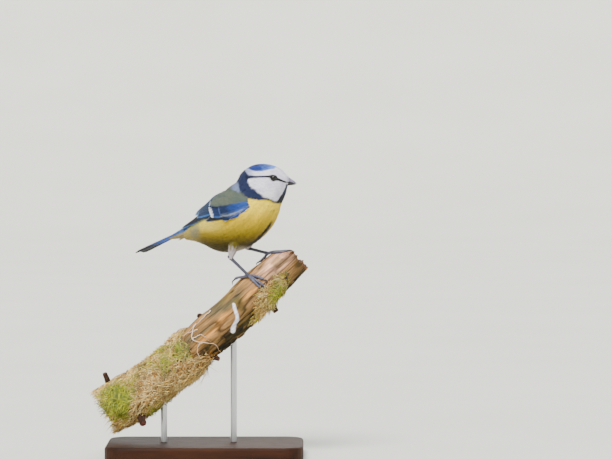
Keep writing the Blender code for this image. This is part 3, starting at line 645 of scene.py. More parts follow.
@dataclass(frozen=True)
class Stance:
    """The bird's own frame: u forward, v to its left, z up, turned at the neck."""

    centre: tuple = (22.0, 0.0, 148.0)
    trunk_turn: float = math.radians(-25)
    head_turn: float = math.radians(-6)
    neck: float = 10.4

    def place(self, points: object, turned: object = 0.0) -> Array:
        """Turns points about the neck's upright line and moves them into the model's frame.

        Args:
            points: Places in the bird's own frame.
            turned: 0 for the trunk's turn and 1 for the head's.

        Returns:
            The places in the model's frame, in millimetres.
        """
        points = np.asarray(points, float)
        angle = self.trunk_turn + (self.head_turn - self.trunk_turn) * np.asarray(turned, float)
        ahead = points[..., 0] - self.neck
        pivot_x = self.centre[0] + self.neck * math.cos(self.trunk_turn)
        pivot_y = self.centre[1] + self.neck * math.sin(self.trunk_turn)
        x = pivot_x + ahead * np.cos(angle) - points[..., 1] * np.sin(angle)
        y = pivot_y + ahead * np.sin(angle) + points[..., 1] * np.cos(angle)
        return np.stack([x, y, self.centre[2] + points[..., 2]], axis=-1)


STANCE = Stance()


class Form:
    """A round form that feathers grow on, read at a place along it and a turn round it."""

    span: tuple = (0.0, 1.0)

    def surface(self, at: object, turn: object, grow: object = 0.0) -> Array:
        """Gives the surface grown outwards by some millimetres.

        Args:
            at: The place along the form.
            turn: The angle round it.
            grow: Millimetres outwards.

        Returns:
            Places in the model's frame.
        """
        raise NotImplementedError

    def speeds(self, at: Array, turn: Array) -> tuple[Array, Array]:
        """Measures the surface: millimetres for one unit along and for one radian round."""
        along = np.linalg.norm(self.surface(at + 0.05, turn) - self.surface(at - 0.05, turn), axis=-1) / 0.1
        round_it = np.linalg.norm(self.surface(at, turn + 0.02) - self.surface(at, turn - 0.02), axis=-1) / 0.04
        return np.maximum(along, 0.3), np.maximum(round_it, 0.3)


@dataclass(frozen=True)
class BodyForm(Form):
    """Trunk, neck and head as one surface through sections that fan from the tail to the bill."""

    sections: tuple = (
        (-38.6, -5.4, -39.4, -10.8, 2.6), (-35.5, -2.4, -36.8, -12.0, 5.0), (-30.5, 1.2, -30.8, -12.8, 8.4),
        (-24.5, 5.8, -23.2, -15.2, 12.0), (-17.0, 13.0, -13.9, -18.9, 15.0), (-10.0, 19.3, -3.0, -18.8, 16.8),
        (-4.8, 23.6, 8.6, -14.2, 17.5), (-1.4, 25.6, 19.6, -5.0, 17.0), (0.0, 27.8, 25.2, 4.0, 15.6),
        (1.4, 30.7, 27.3, 10.8, 14.0), (4.6, 33.6, 29.0, 15.0, 12.8), (9.6, 36.1, 30.1, 18.0, 11.9),
        (15.5, 36.9, 30.7, 20.5, 10.2), (21.8, 35.9, 31.1, 22.2, 8.2), (27.0, 33.4, 31.4, 23.3, 6.2),
        (30.2, 30.1, 31.7, 24.3, 3.9), (31.3, 28.2, 31.8, 25.2, 2.0),
    )  # fmt: skip
    head_blend: tuple = (7.4, 10.2)
    fullness: float = 0.06
    span: tuple = (0.0, 16.0)

    def own(self, at: object, turn: object, grow: object = 0.0) -> Array:
        """Gives the surface in the bird's own frame.

        At each place the section's middle plus the cosine of the turn times the half from underside to
        back, and the sine of the turn times the half-width, a little fuller below. Before the first
        section it runs on straight towards the tail.

        Args:
            at: The section, 0 at the tail coverts and 16 at the bill.
            turn: 0 on the back, positive over the left side.
            grow: Millimetres outwards.

        Returns:
            Places as u, v and z.
        """
        at, turn, grow = alike(at, turn, grow)
        past = np.minimum(at, 0)[..., None] * (4.0, 0.0, 1.7)
        row = smooth(self.sections, at)
        back = np.stack([row[..., 0], 0 * row[..., 0], row[..., 1]], axis=-1)
        under = np.stack([row[..., 2], 0 * row[..., 0], row[..., 3]], axis=-1)
        upward = (back - under) / 2
        height = np.cos(turn)
        across = np.sin(turn)
        full = 1 + self.fullness * (1 - height) * np.abs(across)
        points = (back + under) / 2 + (upward + grow[..., None] * unit(upward)) * height[..., None]
        points[..., 1] += (row[..., 4] + grow) * across * full
        return points + past

    def surface(self, at: object, turn: object, grow: object = 0.0) -> Array:
        """See Form.surface."""
        own = self.own(at, turn, grow)
        return STANCE.place(own, np.broadcast_to(rise(*self.head_blend, at), own.shape[:-1]))


BODY = BodyForm()


@dataclass(frozen=True)
class Outline:
    """A closed outline on the bird's side view, x and z in millimetres of the model's frame."""

    corners: tuple

    def depth(self, x: Array, z: Array) -> Array:
        """Measures how far inside the outline places lie, less than nothing outside.

        The distance is that to the nearest edge, and a place is inside where a line from it crosses the
        edges an odd number of times.

        Args:
            x: Places along the side view.
            z: Their heights.

        Returns:
            Millimetres inside.
        """
        corners = np.array(self.corners, float)
        nearest = np.full(x.shape, np.inf)
        inside = np.zeros(x.shape, bool)
        for start, end in zip(corners, np.roll(corners, -1, axis=0)):
            edge = end - start
            off_x = x - start[0]
            off_z = z - start[1]
            share = np.clip((off_x * edge[0] + off_z * edge[1]) / (edge @ edge), 0, 1)
            nearest = np.minimum(nearest, np.hypot(off_x - share * edge[0], off_z - share * edge[1]))
            crosses = (start[1] > z) != (end[1] > z)
            slope = edge[1] if abs(edge[1]) > 1e-9 else 1e-9
            inside ^= crosses & (off_x < edge[0] * off_z / slope)
        return np.where(inside, nearest, -nearest)


CHEEK_LINE = (
    (27.2, 175.2), (27.2, 173.5), (28.2, 171.3), (29.5, 170.2), (31.5, 169.0), (33.0, 167.6), (34.5, 166.6),
    (36.0, 165.3), (37.0, 164.4), (38.5, 163.7), (40.0, 163.3), (41.5, 162.6), (43.0, 161.7), (44.5, 161.3),
    (46.0, 161.6), (46.6, 162.6), (47.3, 164.0), (48.8, 166.0), (50.0, 168.2), (50.8, 170.0), (51.3, 172.0),
)  # fmt: skip


@dataclass(frozen=True)
class Markings:
    """The plumage's colours as a function of the place on the body, the same on both sides."""

    white: Outline = Outline(
        (
            (23.0, 184.0), (24.9, 180.9), (27.3, 178.2), (28.2, 176.5), *CHEEK_LINE,
            (60.0, 172.0), (60.0, 192.0), (22.0, 192.0),
        )
    )  # fmt: skip
    collar: Outline = Outline(
        (
            (14.0, 178.0), (18.0, 184.0), (23.6, 182.4), (25.6, 180.5), (27.4, 178.4), (30.0, 177.0), (30.0, 174.0),
            (48.0, 174.0), (60.0, 171.6), (54.0, 163.0), (49.5, 159.7), (46.5, 159.9), (43.0, 160.5), (41.0, 161.6),
            (39.0, 162.4), (37.0, 162.3), (34.0, 162.2), (31.0, 162.6), (28.0, 163.2), (26.5, 163.8), (25.0, 165.4),
            (23.5, 166.8), (22.0, 168.2), (21.3, 170.0), (20.9, 173.0), (19.0, 174.5),
        )
    )  # fmt: skip
    mantle: Outline = Outline(
        (
            (27.0, 163.2), (25.5, 162.5), (21.0, 161.8), (16.0, 159.5), (10.0, 155.0), (0.0, 149.5), (-14.0, 141.5),
            (-22.0, 146.0), (2.0, 172.0), (16.0, 182.0), (23.0, 172.0), (24.4, 166.6),
        )
    )  # fmt: skip
    crown_edge: tuple = (
        (26.0, 183.6), (27.2, 182.1), (29.0, 180.9), (32.0, 180.3), (35.0, 180.2), (38.0, 180.8),
        (41.0, 181.5), (44.0, 182.1), (46.5, 184.0),
    )  # fmt: skip
    stripe: tuple = (
        (26.0, 176.9, 1.5), (28.0, 176.7, 1.1), (30.0, 176.8, 0.85), (34.0, 176.9, 0.62), (38.0, 177.0, 0.6),
        (40.5, 176.9, 0.75), (42.3, 176.6, 1.3), (44.0, 176.2, 1.5), (46.0, 175.3, 1.0), (48.0, 174.4, 0.78),
        (50.0, 173.6, 0.6), (51.6, 173.2, 0.35),
    )  # fmt: skip

    def paint(self, at: Array, turn: Array) -> Array:
        """Gives the colour at places on the body.

        The place is looked up on the near side's side view, so that the far side mirrors it. Each mark is
        laid over the last, with its depth inside its outline as the share.

        Args:
            at: Sections along the body.
            turn: Angles round it.

        Returns:
            Linear colours.
        """
        near = BODY.surface(at, -np.abs(turn))
        own = BODY.own(at, turn)
        x, z = near[..., 0], near[..., 2]
        wavy = 0.25 * mottle(near, 1.1, 3)
        out = np.abs(own[..., 1])

        # The yellow is painted lighter towards the top and darker towards the bottom: partly the plumage's own
        # olive belly, partly painted light from above and painted shade under the body.
        tint = shade((104, 94, 8), (226, 202, 44), rise(132, 152, z))
        tint = blend(tint, colour(255, 234, 96), rise(148, 159, z))
        lie = np.stack([at * 3.2, turn * 15.0, 0 * at], axis=-1)
        streaks = mottle(lie, (3.6, 0.7, 1.0), 51) + 0.6 * mottle(lie, (9.0, 2.2, 1.0), 52)
        tint = tint * (1 + 0.16 * streaks)[..., None]
        pale = rise(16, 0, x) * rise(140, 146, z) * rise(3, 9, out)
        tint = blend(tint, colour(234, 222, 128), 0.7 * pale)
        tint = blend(tint, colour(190, 176, 116), rise(0, -10, x) * rise(146, 139, z))
        patch = rise(5.0, 1.0, np.hypot((x + 6.5) / 1.1, (z - 142.8) / 1.3) + 1.4 * mottle(near, 2.0, 2))
        tint = blend(tint, colour(124, 138, 142), 0.6 * patch)
        whitish = rise(7.0, 3.0, np.hypot((x - 22.5) / 1.5, (z - 129.3) / 0.65)) * (np.cos(turn) < 0)
        tint = blend(tint, colour(206, 196, 176), 0.7 * whitish)
        aside = np.abs(own[..., 1] + 1.9 + 0.5 * mottle(near, 2.5, 6))
        streak = rise(2.15, 1.35, aside) * rise(5.5, 6.1, at) * rise(7.75, 7.3, at) * (np.cos(turn) < 0)
        tint = blend(tint, colour(20, 24, 36), streak)

        back = rise(-0.8, 0.6, self.mantle.depth(x, z) + wavy)
        back = np.maximum(back, rise(1.3, 1.05, np.abs(turn)) * (at < 9))
        moss_grey = shade((126, 132, 116), (112, 124, 118), patchy(near, 4.0, 5))
        rump = blend(moss_grey, colour(138, 146, 96), rise(4.2, 2.8, at))
        rump = blend(rump, colour(98, 126, 160), rise(1.9, 1.1, at))
        tint = blend(tint, rump, back)
        nape = rise(3.8, 0.8, np.hypot((x - 19.6) / 1.1, (z - 170.0) / 1.5))
        tint = blend(tint, colour(160, 172, 206), 0.85 * nape)

        navy = shade((56, 72, 112), (44, 46, 66), rise(34, 40, x) * rise(168, 163, z))
        tint = blend(tint, navy, rise(-0.3, 0.35, self.collar.depth(x, z) + wavy))
        white = shade((252, 250, 255), (226, 224, 240), patchy(near, 3.0, 9))
        white = blend(white, colour(196, 200, 228), rise(33, 27, x) * rise(176, 178, z))
        tint = blend(tint, white, rise(-0.3, 0.3, self.white.depth(x, z) + wavy))
        edge = np.interp(x, *np.array(self.crown_edge).T)
        cap = np.minimum(z - edge, (46.0 - x) * 0.7)
        blue = shade((62, 92, 168), (132, 172, 236), rise(33, 43, x + 3 * mottle(near, 1.5, 4)))
        tint = blend(tint, blue, rise(-0.35, 0.45, cap + wavy) * (at > 8))
        x_row, z_row, thick = np.array(self.stripe).T
        line = np.interp(x, x_row, thick) - np.abs(z - np.interp(x, x_row, z_row))
        dark = shade((38, 50, 92), (26, 26, 34), rise(34, 41, x))
        return blend(tint, dark, rise(-0.25, 0.25, line + 0.6 * wavy) * (at > 9) * (x > 25.5) * (x < 53))


MARKS = Markings()
COAT_AT = np.array([0.0, 2.0, 5.0, 8.0, 9.5, 11.0, 13.0, 15.0, 16.0])
COAT_DEPTHS = (0.8, 0.95, 1.25, 1.15, 0.9, 0.7, 0.55, 0.35, 0.25)
THIGH_DEPTH = 0.45


@dataclass(frozen=True)
class EyeSeat:
    """Where one eye sits: its middle, and the direction in which it looks."""

    side: Side
    place: tuple = (23.7, 28.3)
    radius: float = 2.3
    sink: float = 1.25

    def frame(self) -> tuple[Array, Array]:
        """Finds the face's nearest spot to the wanted place and sinks the ball's middle under it.

        Returns:
            The ball's middle and the face's outward normal there, in the model's frame.
        """
        sign = self.side.value
        section, turn = np.meshgrid(np.linspace(10, 13, 301), np.linspace(0.9, 2.2, 261), indexing="ij")
        face = BODY.surface(section, sign * turn)
        wanted = STANCE.place((self.place[0], 0.0, self.place[1]), 1.0)
        across = STANCE.place((0.0, 1.0, 0.0), 1.0) - STANCE.place((0.0, 0.0, 0.0), 1.0)
        off = face - wanted
        off = off - (off @ across)[..., None] * across
        i, j = np.unravel_index(np.argmin(np.linalg.norm(off, axis=-1)), section.shape)
        look = unit(np.cross(face[i + 5, j] - face[i - 5, j], face[i, j + 5] - face[i, j - 5]))
        look = look * np.sign((look @ across) * sign)
        return face[i, j] - look * self.sink, look


SEATS = {side: EyeSeat(side) for side in Side}


# The coat


def skin_depth(at: object) -> Array:
    """Gives how deep the skin lies under the solids at each section, which is the coat's depth."""
    return np.interp(at, COAT_AT, COAT_DEPTHS)


@dataclass(frozen=True)
class Coat:
    """Loose feathers over a form, each a fan of thin blades that follows the surface towards the tail."""

    name: str
    form: Form
    at_range: tuple
    turn_range: tuple
    lengths: tuple
    widths: tuple
    lifts: tuple
    blades: int = 9
    layers: float = 8.0
    mess: float = 0.10
    overhang: float = 2.0
    seed: int = 1

    def roots(self) -> tuple[Array, Array]:
        """Spreads feather roots over the form, denser where feathers are smaller.

        Places are drawn evenly over the sections and turns, and one is kept with a chance of the number of
        feathers wanted there over the highest number wanted anywhere.

        Returns:
            The sections and the turns of the roots.
        """
        most = float(self.wanted(*self.spots(even_spread(4000, self.seed))).max())
        draw = even_spread(int(most) + 1, self.seed)
        at, turn = self.spots(draw)
        kept = draw[:, 2] < self.wanted(at, turn) / most
        kept &= self.clear(at, turn)
        return at[kept], turn[kept]

    def spots(self, draw: Array) -> tuple[Array, Array]:
        """Turns numbers from 0 to 1 into sections and turns of this coat."""
        return between(self.at_range, draw[:, 0]), between(self.turn_range, draw[:, 1])

    def wanted(self, at: Array, turn: Array) -> Array:
        """Gives how many feathers the coat would have if it were as dense all over as it is there."""
        along, round_it = self.form.speeds(at, turn)
        area = along * round_it * np.ptp(self.at_range) * np.ptp(self.turn_range)
        return self.layers * area / (self.size(self.lengths, at) * self.size(self.widths, at))

    def size(self, table: tuple, at: Array) -> Array:
        """Reads one of the coat's sizes at sections along the form."""
        return np.interp(at, np.linspace(*self.form.span, len(table)), table)

    def clear(self, at: Array, turn: Array) -> Array:
        """Tells which roots stand clear of the eyes."""
        points = self.form.surface(at, turn)
        free = np.ones(at.shape, bool)
        for seat in SEATS.values():
            centre, look = seat.frame()
            off = points - centre
            aside = np.linalg.norm(off - (off @ look)[..., None] * look, axis=-1)
            free &= (aside > 2.5) | (off @ look < 0)
        return free

    def tint(self, at: Array, turn: Array) -> Array:
        """Gives the marking's colour at places on the form."""
        return MARKS.paint(at, turn)

    def depth(self, at: Array) -> Array:
        """Gives how deep the skin lies under the form's solid there."""
        return skin_depth(at)

    def build(self, slot: str) -> bpy.types.Object:
        """Makes the coat as one mesh.

        A blade's corner lies on the form at its root's section less its distance along over the speed,
        and at its turn plus its distance across over the speed round, lifted off the skin more towards
        the tip.

        Args:
            slot: The record's material slot.

        Returns:
            The coat's object.
        """
        at, turn = self.roots()
        count = len(at)
        draw = scatter(count, 4, self.seed + 50)
        each = scatter(count * self.blades, 5, self.seed + 90).reshape(count, self.blades, 5)
        along_speed, round_speed = (value[:, None, None, None] for value in self.form.speeds(at, turn))
        length = self.size(self.lengths, at) * (0.85 + 0.3 * draw[:, 0])
        width = self.size(self.widths, at) * (0.85 + 0.3 * draw[:, 1])
        place = np.linspace(-1, 1, self.blades)[None, :]
        share = np.array([0.0, 0.38, 0.74, 1.0])
        blade_length = length[:, None] * (1 - 0.22 * place**2 - 0.22 * each[..., 0])
        fan = (0.40 + 0.60 * share**0.8)[None, None, :]
        middle = (place * width[:, None] * 0.42)[..., None] * fan
        half = (width[:, None] / self.blades * 0.66)[..., None] * np.array([0.9, 1.0, 0.72, 0.10])
        across = middle[..., None] + half[..., None] * np.array([-1.0, 1.0])
        distance = (blade_length[..., None] * share)[..., None] * np.ones(2)
        lean = (draw[:, 2, None] - 0.5) * 3.2 * self.mess + (each[..., 1] - 0.5) * 2.4 * self.mess
        lean = lean[..., None, None] * (0.4 + 0.6 * share[:, None])
        ahead = distance * np.cos(lean) - across * np.sin(lean)
        aside = distance * np.sin(lean) + across * np.cos(lean)
        section = at[:, None, None, None] - ahead / along_speed
        angle = turn[:, None, None, None] + aside / round_speed
        lift = self.size(self.lifts, at)[:, None, None] * (0.80 + 0.28 * each[..., 2:3]) * share**0.75
        tilt = (each[..., 3:4] - 0.5) * 0.5 * half
        height = lift[..., None] + tilt[..., None] * np.array([-1.0, 1.0])
        section = np.clip(section, self.form.span[0] - self.overhang, self.form.span[1])
        points = self.form.surface(section, angle, height - self.depth(section) + 0.02)
        ragged = (each[..., 4] - 0.5)[..., None, None]
        tint = self.tint(np.clip(section + 0.05 * ragged, *self.form.span), angle + 0.04 * ragged)
        # Each blade is painted darker towards its root, as painted shade under the feathers that overlap it, with a
        # random tone for each blade and feather on top.
        tone = (0.66 + 0.42 * share)[:, None] * (0.90 + 0.2 * each[..., 3])[..., None, None]
        tint = tint * (tone * (0.94 + 0.12 * draw[:, 3])[:, None, None, None])[..., None]
        shift_u, shift_v = 7.3 * draw[:, 0, None, None, None], 5.1 * each[..., 4, None, None]
        lie = np.stack([across + shift_u, distance + shift_v], axis=-1)
        low, high = self.form.span
        flat_u = on_map(turn / (2 * math.pi) + 0.5)[:, None, None, None]
        flat_v = on_map((at - low) / (high - low))[:, None, None, None]
        local_u = across / width[:, None, None, None]
        local_v = distance / length[:, None, None, None] - 0.5
        bake = np.stack([flat_u + MAP_PATCH * local_u, flat_v + MAP_PATCH * local_v], axis=-1)
        weave = Weave()
        weave.add(points, [net(4, 2, count * self.blades)], tint, lie, bake)
        return weave.make(self.name, DOWN, slot, inflate=False)


@dataclass(frozen=True)
class ThighForm(Form):
    """A feathered thigh: a tapered round from knee to ankle."""

    knee: tuple
    ankle: tuple
    girths: tuple = (3.9, 2.7, 1.4)
    span: tuple = (0.0, 1.8)

    def surface(self, at: object, turn: object, grow: object = 0.0) -> Array:
        """Gives the middle line at 1 less the place, plus the girth there times the turned direction.

        Past the knee, at 1, the girth falls as a quarter circle, so that the top is a dome.
        """
        at, turn, grow = alike(at, turn, grow)
        knee, ankle = STANCE.place(self.knee), STANCE.place(self.ankle)
        down = unit(ankle - knee)
        side = unit(np.cross(down, (0.0, 1.0, 0.0)))
        near = np.cross(side, down)
        dome = np.sqrt(np.maximum(1 - np.clip((at - 1) / 0.82, 0, 1) ** 2, 0))
        girth = (smooth(self.girths, np.clip(1 - at, 0, 1) * 2) + grow) * dome
        ring = np.cos(turn)[..., None] * side + np.sin(turn)[..., None] * near
        return knee + (1 - at)[..., None] * (ankle - knee) + girth[..., None] * ring


@dataclass(frozen=True)
class ThighCoat(Coat):
    """The thigh's short whitish feathers."""

    def tint(self, at: Array, turn: Array) -> Array:
        """Fades from the belly's colour at the knee to a lilac white at the ankle."""
        points = self.form.surface(at, turn)
        return shade((206, 198, 198), (134, 124, 18), rise(0.30, 0.95, at + 0.25 * mottle(points, 1.2, 7)))

    def depth(self, at: Array) -> Array:
        """Keeps the thigh's skin a little under its solid."""
        return THIGH_DEPTH + 0 * at

    def clear(self, at: Array, turn: Array) -> Array:
        """Keeps every root, as no eye is near."""
        return np.ones(at.shape, bool)


@dataclass
class Plumage:
    """The skin and the loose feathers of trunk, neck, head and thighs."""

    rings: int = 230
    sides: int = 150
    thighs: dict = field(
        default_factory=lambda: {
            Side.RIGHT: ThighForm((0.4, -8.6, -12.5), (-1.8, -9.7, -22.3)),
            Side.LEFT: ThighForm((3.5, 9.6, -8.0), (0.5, 10.8, -16.9)),
        }
    )

    def skin(self) -> bpy.types.Object:
        """Makes the one skin under the coat: the body's form and both thighs, sunk by the coat's depth, and painted
        darker than the feathers as painted shade between them.
        """
        weave = Weave()
        turn = np.linspace(-math.pi, math.pi, self.sides, endpoint=False)
        at, turn = np.broadcast_arrays(np.linspace(0.05, 16, self.rings)[:, None], turn)
        # The skin takes the markings made darker, as painted shade in the gaps between the feathers.
        weave.shells(BODY.surface(at, turn, -skin_depth(at)), MARKS.paint(at, turn) * 0.85)
        for thigh in self.thighs.values():
            turn = np.linspace(0, 2 * math.pi, 24, endpoint=False)
            rings = thigh.surface(np.linspace(0, 1.8, 20)[:, None], turn, -THIGH_DEPTH)
            # The thighs' skin is a darkened buff, as painted shade between their feathers.
            weave.shells(rings, colour(170, 156, 120) * 0.8)
        solids = ("torso", "neck", "head", "thigh_right", "thigh_left")
        return weave.make("skin", SKIN, "yellow_feather", *solids)

    def build(self) -> None:
        """Makes the skin and every stretch of coat."""
        self.skin()
        body = ((4.2, 4.8, 5.6, 5.6, 4.6, 3.2, 2.3, 1.8, 1.0), (1.8, 2.2, 2.5, 2.5, 2.2, 1.5, 1.1, 0.9, 0.6))
        lifts = (0.75, 0.95, 1.2, 1.15, 1.0, 0.72, 0.55, 0.42, 0.22)
        half, flank = math.pi, 1.45
        stretches = (
            ("back", (0.3, 8.6), (-flank, flank), "yellow_feather", {"seed": 11}),
            ("right", (0.3, 8.6), (-half, -flank), "yellow_feather", {"seed": 12, "mess": 0.13}),
            ("left", (0.3, 8.6), (flank, half), "yellow_feather", {"seed": 13, "mess": 0.13}),
            ("neck", (8.6, 10.6), (-half, half), "collar_feather", {"seed": 14}),
            ("head", (10.6, 15.95), (-half, half), "head_feather", {"seed": 15, "mess": 0.09, "blades": 6}),
        )
        for name, sections, turns, slot, own in stretches:
            Coat(f"coat_{name}", BODY, sections, turns, *body, lifts, **own).build(slot)
        for side, thigh in self.thighs.items():
            ThighCoat(
                f"coat_thigh_{side.name.lower()}", thigh, (0.10, 1.78), (0.0, 2 * half), (2.2, 3.4), (1.0, 1.8),
                (0.5, 0.9), layers=9.0, mess=0.16, overhang=0.12, seed=21 + side.value,
            ).build("yellow_feather")  # fmt: skip


# The head's bare parts


@dataclass
class Head:
    """The eyes with their lids, the bill, and the bristles over its root."""

    bill_root: tuple = (29.6, 26.3)
    bill_tip: tuple = (36.9, 24.2)
    bill_width: float = 4.1
    nostril: tuple = (32.3, 27.6)

    def eyes(self) -> None:
        """Makes both eyes: a ball whose middle bulges a little as the cornea, and a ring of lid."""
        for side, seat in SEATS.items():
            centre, look = seat.frame()
            ahead = unit(np.cross((0.0, 0.0, 1.0), look))
            up = np.cross(look, ahead)
            tilt = np.linspace(0.04, math.pi - 0.04, 40)[:, None]
            turn = np.linspace(0, 2 * math.pi, 48, endpoint=False)[None, :]
            bulge = 1 + 0.05 * np.exp(-((tilt / 0.5) ** 2))
            out = np.cos(tilt)[..., None] * look
            out = out + np.sin(tilt)[..., None] * (np.cos(turn)[..., None] * ahead + np.sin(turn)[..., None] * up)
            points = centre + seat.radius * bulge[..., None] * out
            iris = rise(0.52, 0.6, tilt) * rise(1.0, 0.9, tilt) + 0 * turn
            tint = shade((3, 3, 3), (20, 13, 10), iris)
            weave = Weave()
            weave.shells(points, tint)
            weave.make(f"eyeball_{side.name.lower()}", EYE, "eye_gloss", f"eye_{side.name.lower()}")

            turn = np.linspace(0, 2 * math.pi, 73)[None, :-1]
            scallop = 1 + 0.16 * np.abs(np.sin(14 * turn))
            rim = centre + look * (seat.sink + 0.02)
            path = rim + 1.90 * (1.10 * np.cos(turn)[..., None] * ahead + 0.88 * np.sin(turn)[..., None] * up)
            rings = tube_rings(np.concatenate([path, path[:, :1]], axis=1), 1.0, look, 10)[:, :-1]
            away = rings - path[:, :, None]
            rings = path[:, :, None] + away * (0.27 * scallop)[..., None, None]
            index = np.arange(72 * 10).reshape(72, 10)
            there = np.roll(index, -1, axis=0)
            quads = np.stack([index, np.roll(index, -1, 1), np.roll(there, -1, 1), there], axis=-1).reshape(-1, 4)
            lid = Weave()
            lid.add(rings[0], [quads], colour(17, 18, 25))
            lid.make(f"eyelid_{side.name.lower()}", LID, "head_feather")

    def bill_half(self, half: int) -> Array:
        """Works out one half of the bill.

        Along the bill its depth falls as (1 - share^1.9)^0.72 above and (1 - share^1.3)^0.8 below, and
        across it the height is the sine of the turn.

        Args:
            half: 1 for the upper half and -1 for the lower.

        Returns:
            Rings of corners in the model's frame.
        """
        share = np.linspace(0, 1, 40)[:, None]
        turn = np.linspace(0, math.pi, 19)[None, :]
        reach = 1.0 if half > 0 else 0.955
        depth = 2.2 if half > 0 else 3.2
        u = self.bill_root[0] + (self.bill_tip[0] - self.bill_root[0]) * share * reach
        mouth = self.bill_root[1] + (self.bill_tip[1] - self.bill_root[1]) * share**1.5 + half * 0.03
        fall = (1 - share**1.9) ** 0.72 if half > 0 else (1 - share**1.3) ** 0.8
        tall = depth * fall + 0.10
        wide = self.bill_width / 2 * (1 - share**1.25) ** 0.85 + 0.10
        keel = 0.10 * np.exp(-(((turn - math.pi / 2) / 0.28) ** 2)) * (1 - share)
        above = half * (tall * np.maximum(np.sin(turn), 0) ** 0.9 + keel)
        v = wide * np.cos(turn)
        if half > 0:
            off = np.hypot(u - self.nostril[0], (mouth + above - self.nostril[1]) * 1.4)
            v = v * (1 - 0.30 * np.exp(-((off / 0.34) ** 2)))
        sag = np.linspace(math.pi, 0, 8)[None, 1:-1]
        base_v = wide * np.cos(sag)
        base = mouth + 0 * base_v
        lengthwise = np.hstack([u + 0 * turn, u + 0 * sag])
        points = np.stack([lengthwise, np.hstack([v, base_v]), np.hstack([mouth + above, base])], axis=-1)
        return STANCE.place(points, 1.0)

    def bill(self) -> None:
        """Makes both halves of the bill, lavender grey above and dark below, the lower half's darkness partly its
        own dark horn and partly painted shade under the upper half.
        """
        for half, name in ((1, "upper"), (-1, "lower")):
            rings = self.bill_half(half)[None]
            share = np.linspace(0, 1, 40)[:, None] + 0 * np.arange(rings.shape[2])
            if half > 0:
                tint = shade((158, 150, 176), (84, 80, 94), rise(0.6, 1.0, share))
                nostril = STANCE.place((self.nostril[0], 0, self.nostril[1]), 1.0)
                off = np.linalg.norm((rings[0] - nostril)[..., [0, 2]], axis=-1)
                tint = blend(tint, colour(24, 22, 26), 0.9 * np.exp(-((off / 0.4) ** 2)))
            else:
                # The lower half is near black: partly its own dark horn, partly painted shade under the upper half.
                tint = shade((46, 44, 52), (26, 25, 28), rise(0.1, 0.6, share))
            weave = Weave()
            weave.shells(rings, tint)
            weave.make(f"bill_horn_{name}", HORN, "bill_horn", f"bill_{name}")

    def bristles(self) -> None:
        """Makes the short feathers that lie forwards over the bill's root.

        Each is a thin tapered round from the face, whose line runs along the bill and sinks towards it by
        the square of the share.
        """
        count = 520
        draw = scatter(count, 6, 61)
        at = 15.35 + 0.6 * draw[:, 0]
        turn = (draw[:, 1] * 2 - 1) * math.pi
        root = BODY.surface(at, turn, -0.1)
        axis = STANCE.place((self.bill_root[0], 0.0, self.bill_root[1] - 0.3), 1.0)
        ahead = STANCE.place((1.0, 0.0, -0.25), 1.0) - STANCE.place((0.0, 0.0, 0.0), 1.0)
        off = root - axis
        off = unit(off - (off @ unit(ahead))[:, None] * unit(ahead))
        upper = np.cos(turn) > -0.1
        length = np.where(upper, 0.85, 0.6) * (0.6 + 0.8 * draw[:, 2])
        share = np.linspace(0, 1, 5)[None, :, None]
        run = length[:, None, None] * share
        swing = (draw[:, 3:4] - 0.5)[:, None] * 0.7 * run * np.array((0.0, 1.0, 0.4))
        path = root[:, None] + unit(ahead) * run + off[:, None] * (0.25 - 0.30 * share) * share + swing
        girth = 0.075 * np.array([1.0, 1.1, 0.9, 0.6, 0.15])[None, :, None]
        rings = tube_rings(path, girth * np.ones((count, 1, 3)), off[:, None], 3)
        tint = MARKS.paint(at, turn)[:, None, None] * (0.85 + 0.3 * draw[:, 4])[:, None, None, None]
        weave = Weave()
        weave.shells(rings, tint)
        weave.make("bristles", BRISTLE, "head_feather")

    def build(self) -> None:
        """Makes the eyes, the bill and the bristles over its root."""
        self.eyes()
        self.bill()
        self.bristles()


# Flight feathers


@dataclass(frozen=True)
class VaneDress:
    """A flight feather's colours: its outer web, inner web, both rims and tip."""

    outer: tuple
    inner: tuple
    rim: tuple
    tip: tuple
    rim_width: float = 0.16
    tip_share: float = 0.0

    def tint(self, share: Array, across: Array) -> Array:
        """Gives the colour on the feather.

        Args:
            share: From the root, 0, to the tip, 1.
            across: From the inner edge, -1, to the outer edge, 1.

        Returns:
            Linear colours.
        """
        tint = blend(colour(*self.inner), colour(*self.outer), rise(-0.1, 0.1, across))
        tint = blend(tint, colour(*self.rim), rise(1 - self.rim_width * 2, 1 - self.rim_width, across))
        tint = blend(tint, colour(*self.inner) * 0.35, rise(0.10, 0.04, np.abs(across)) * 0.7)
        if self.tip_share:
            tint = blend(tint, colour(*self.tip), rise(1 - self.tip_share, 1 - 0.45 * self.tip_share, share))
        return tint


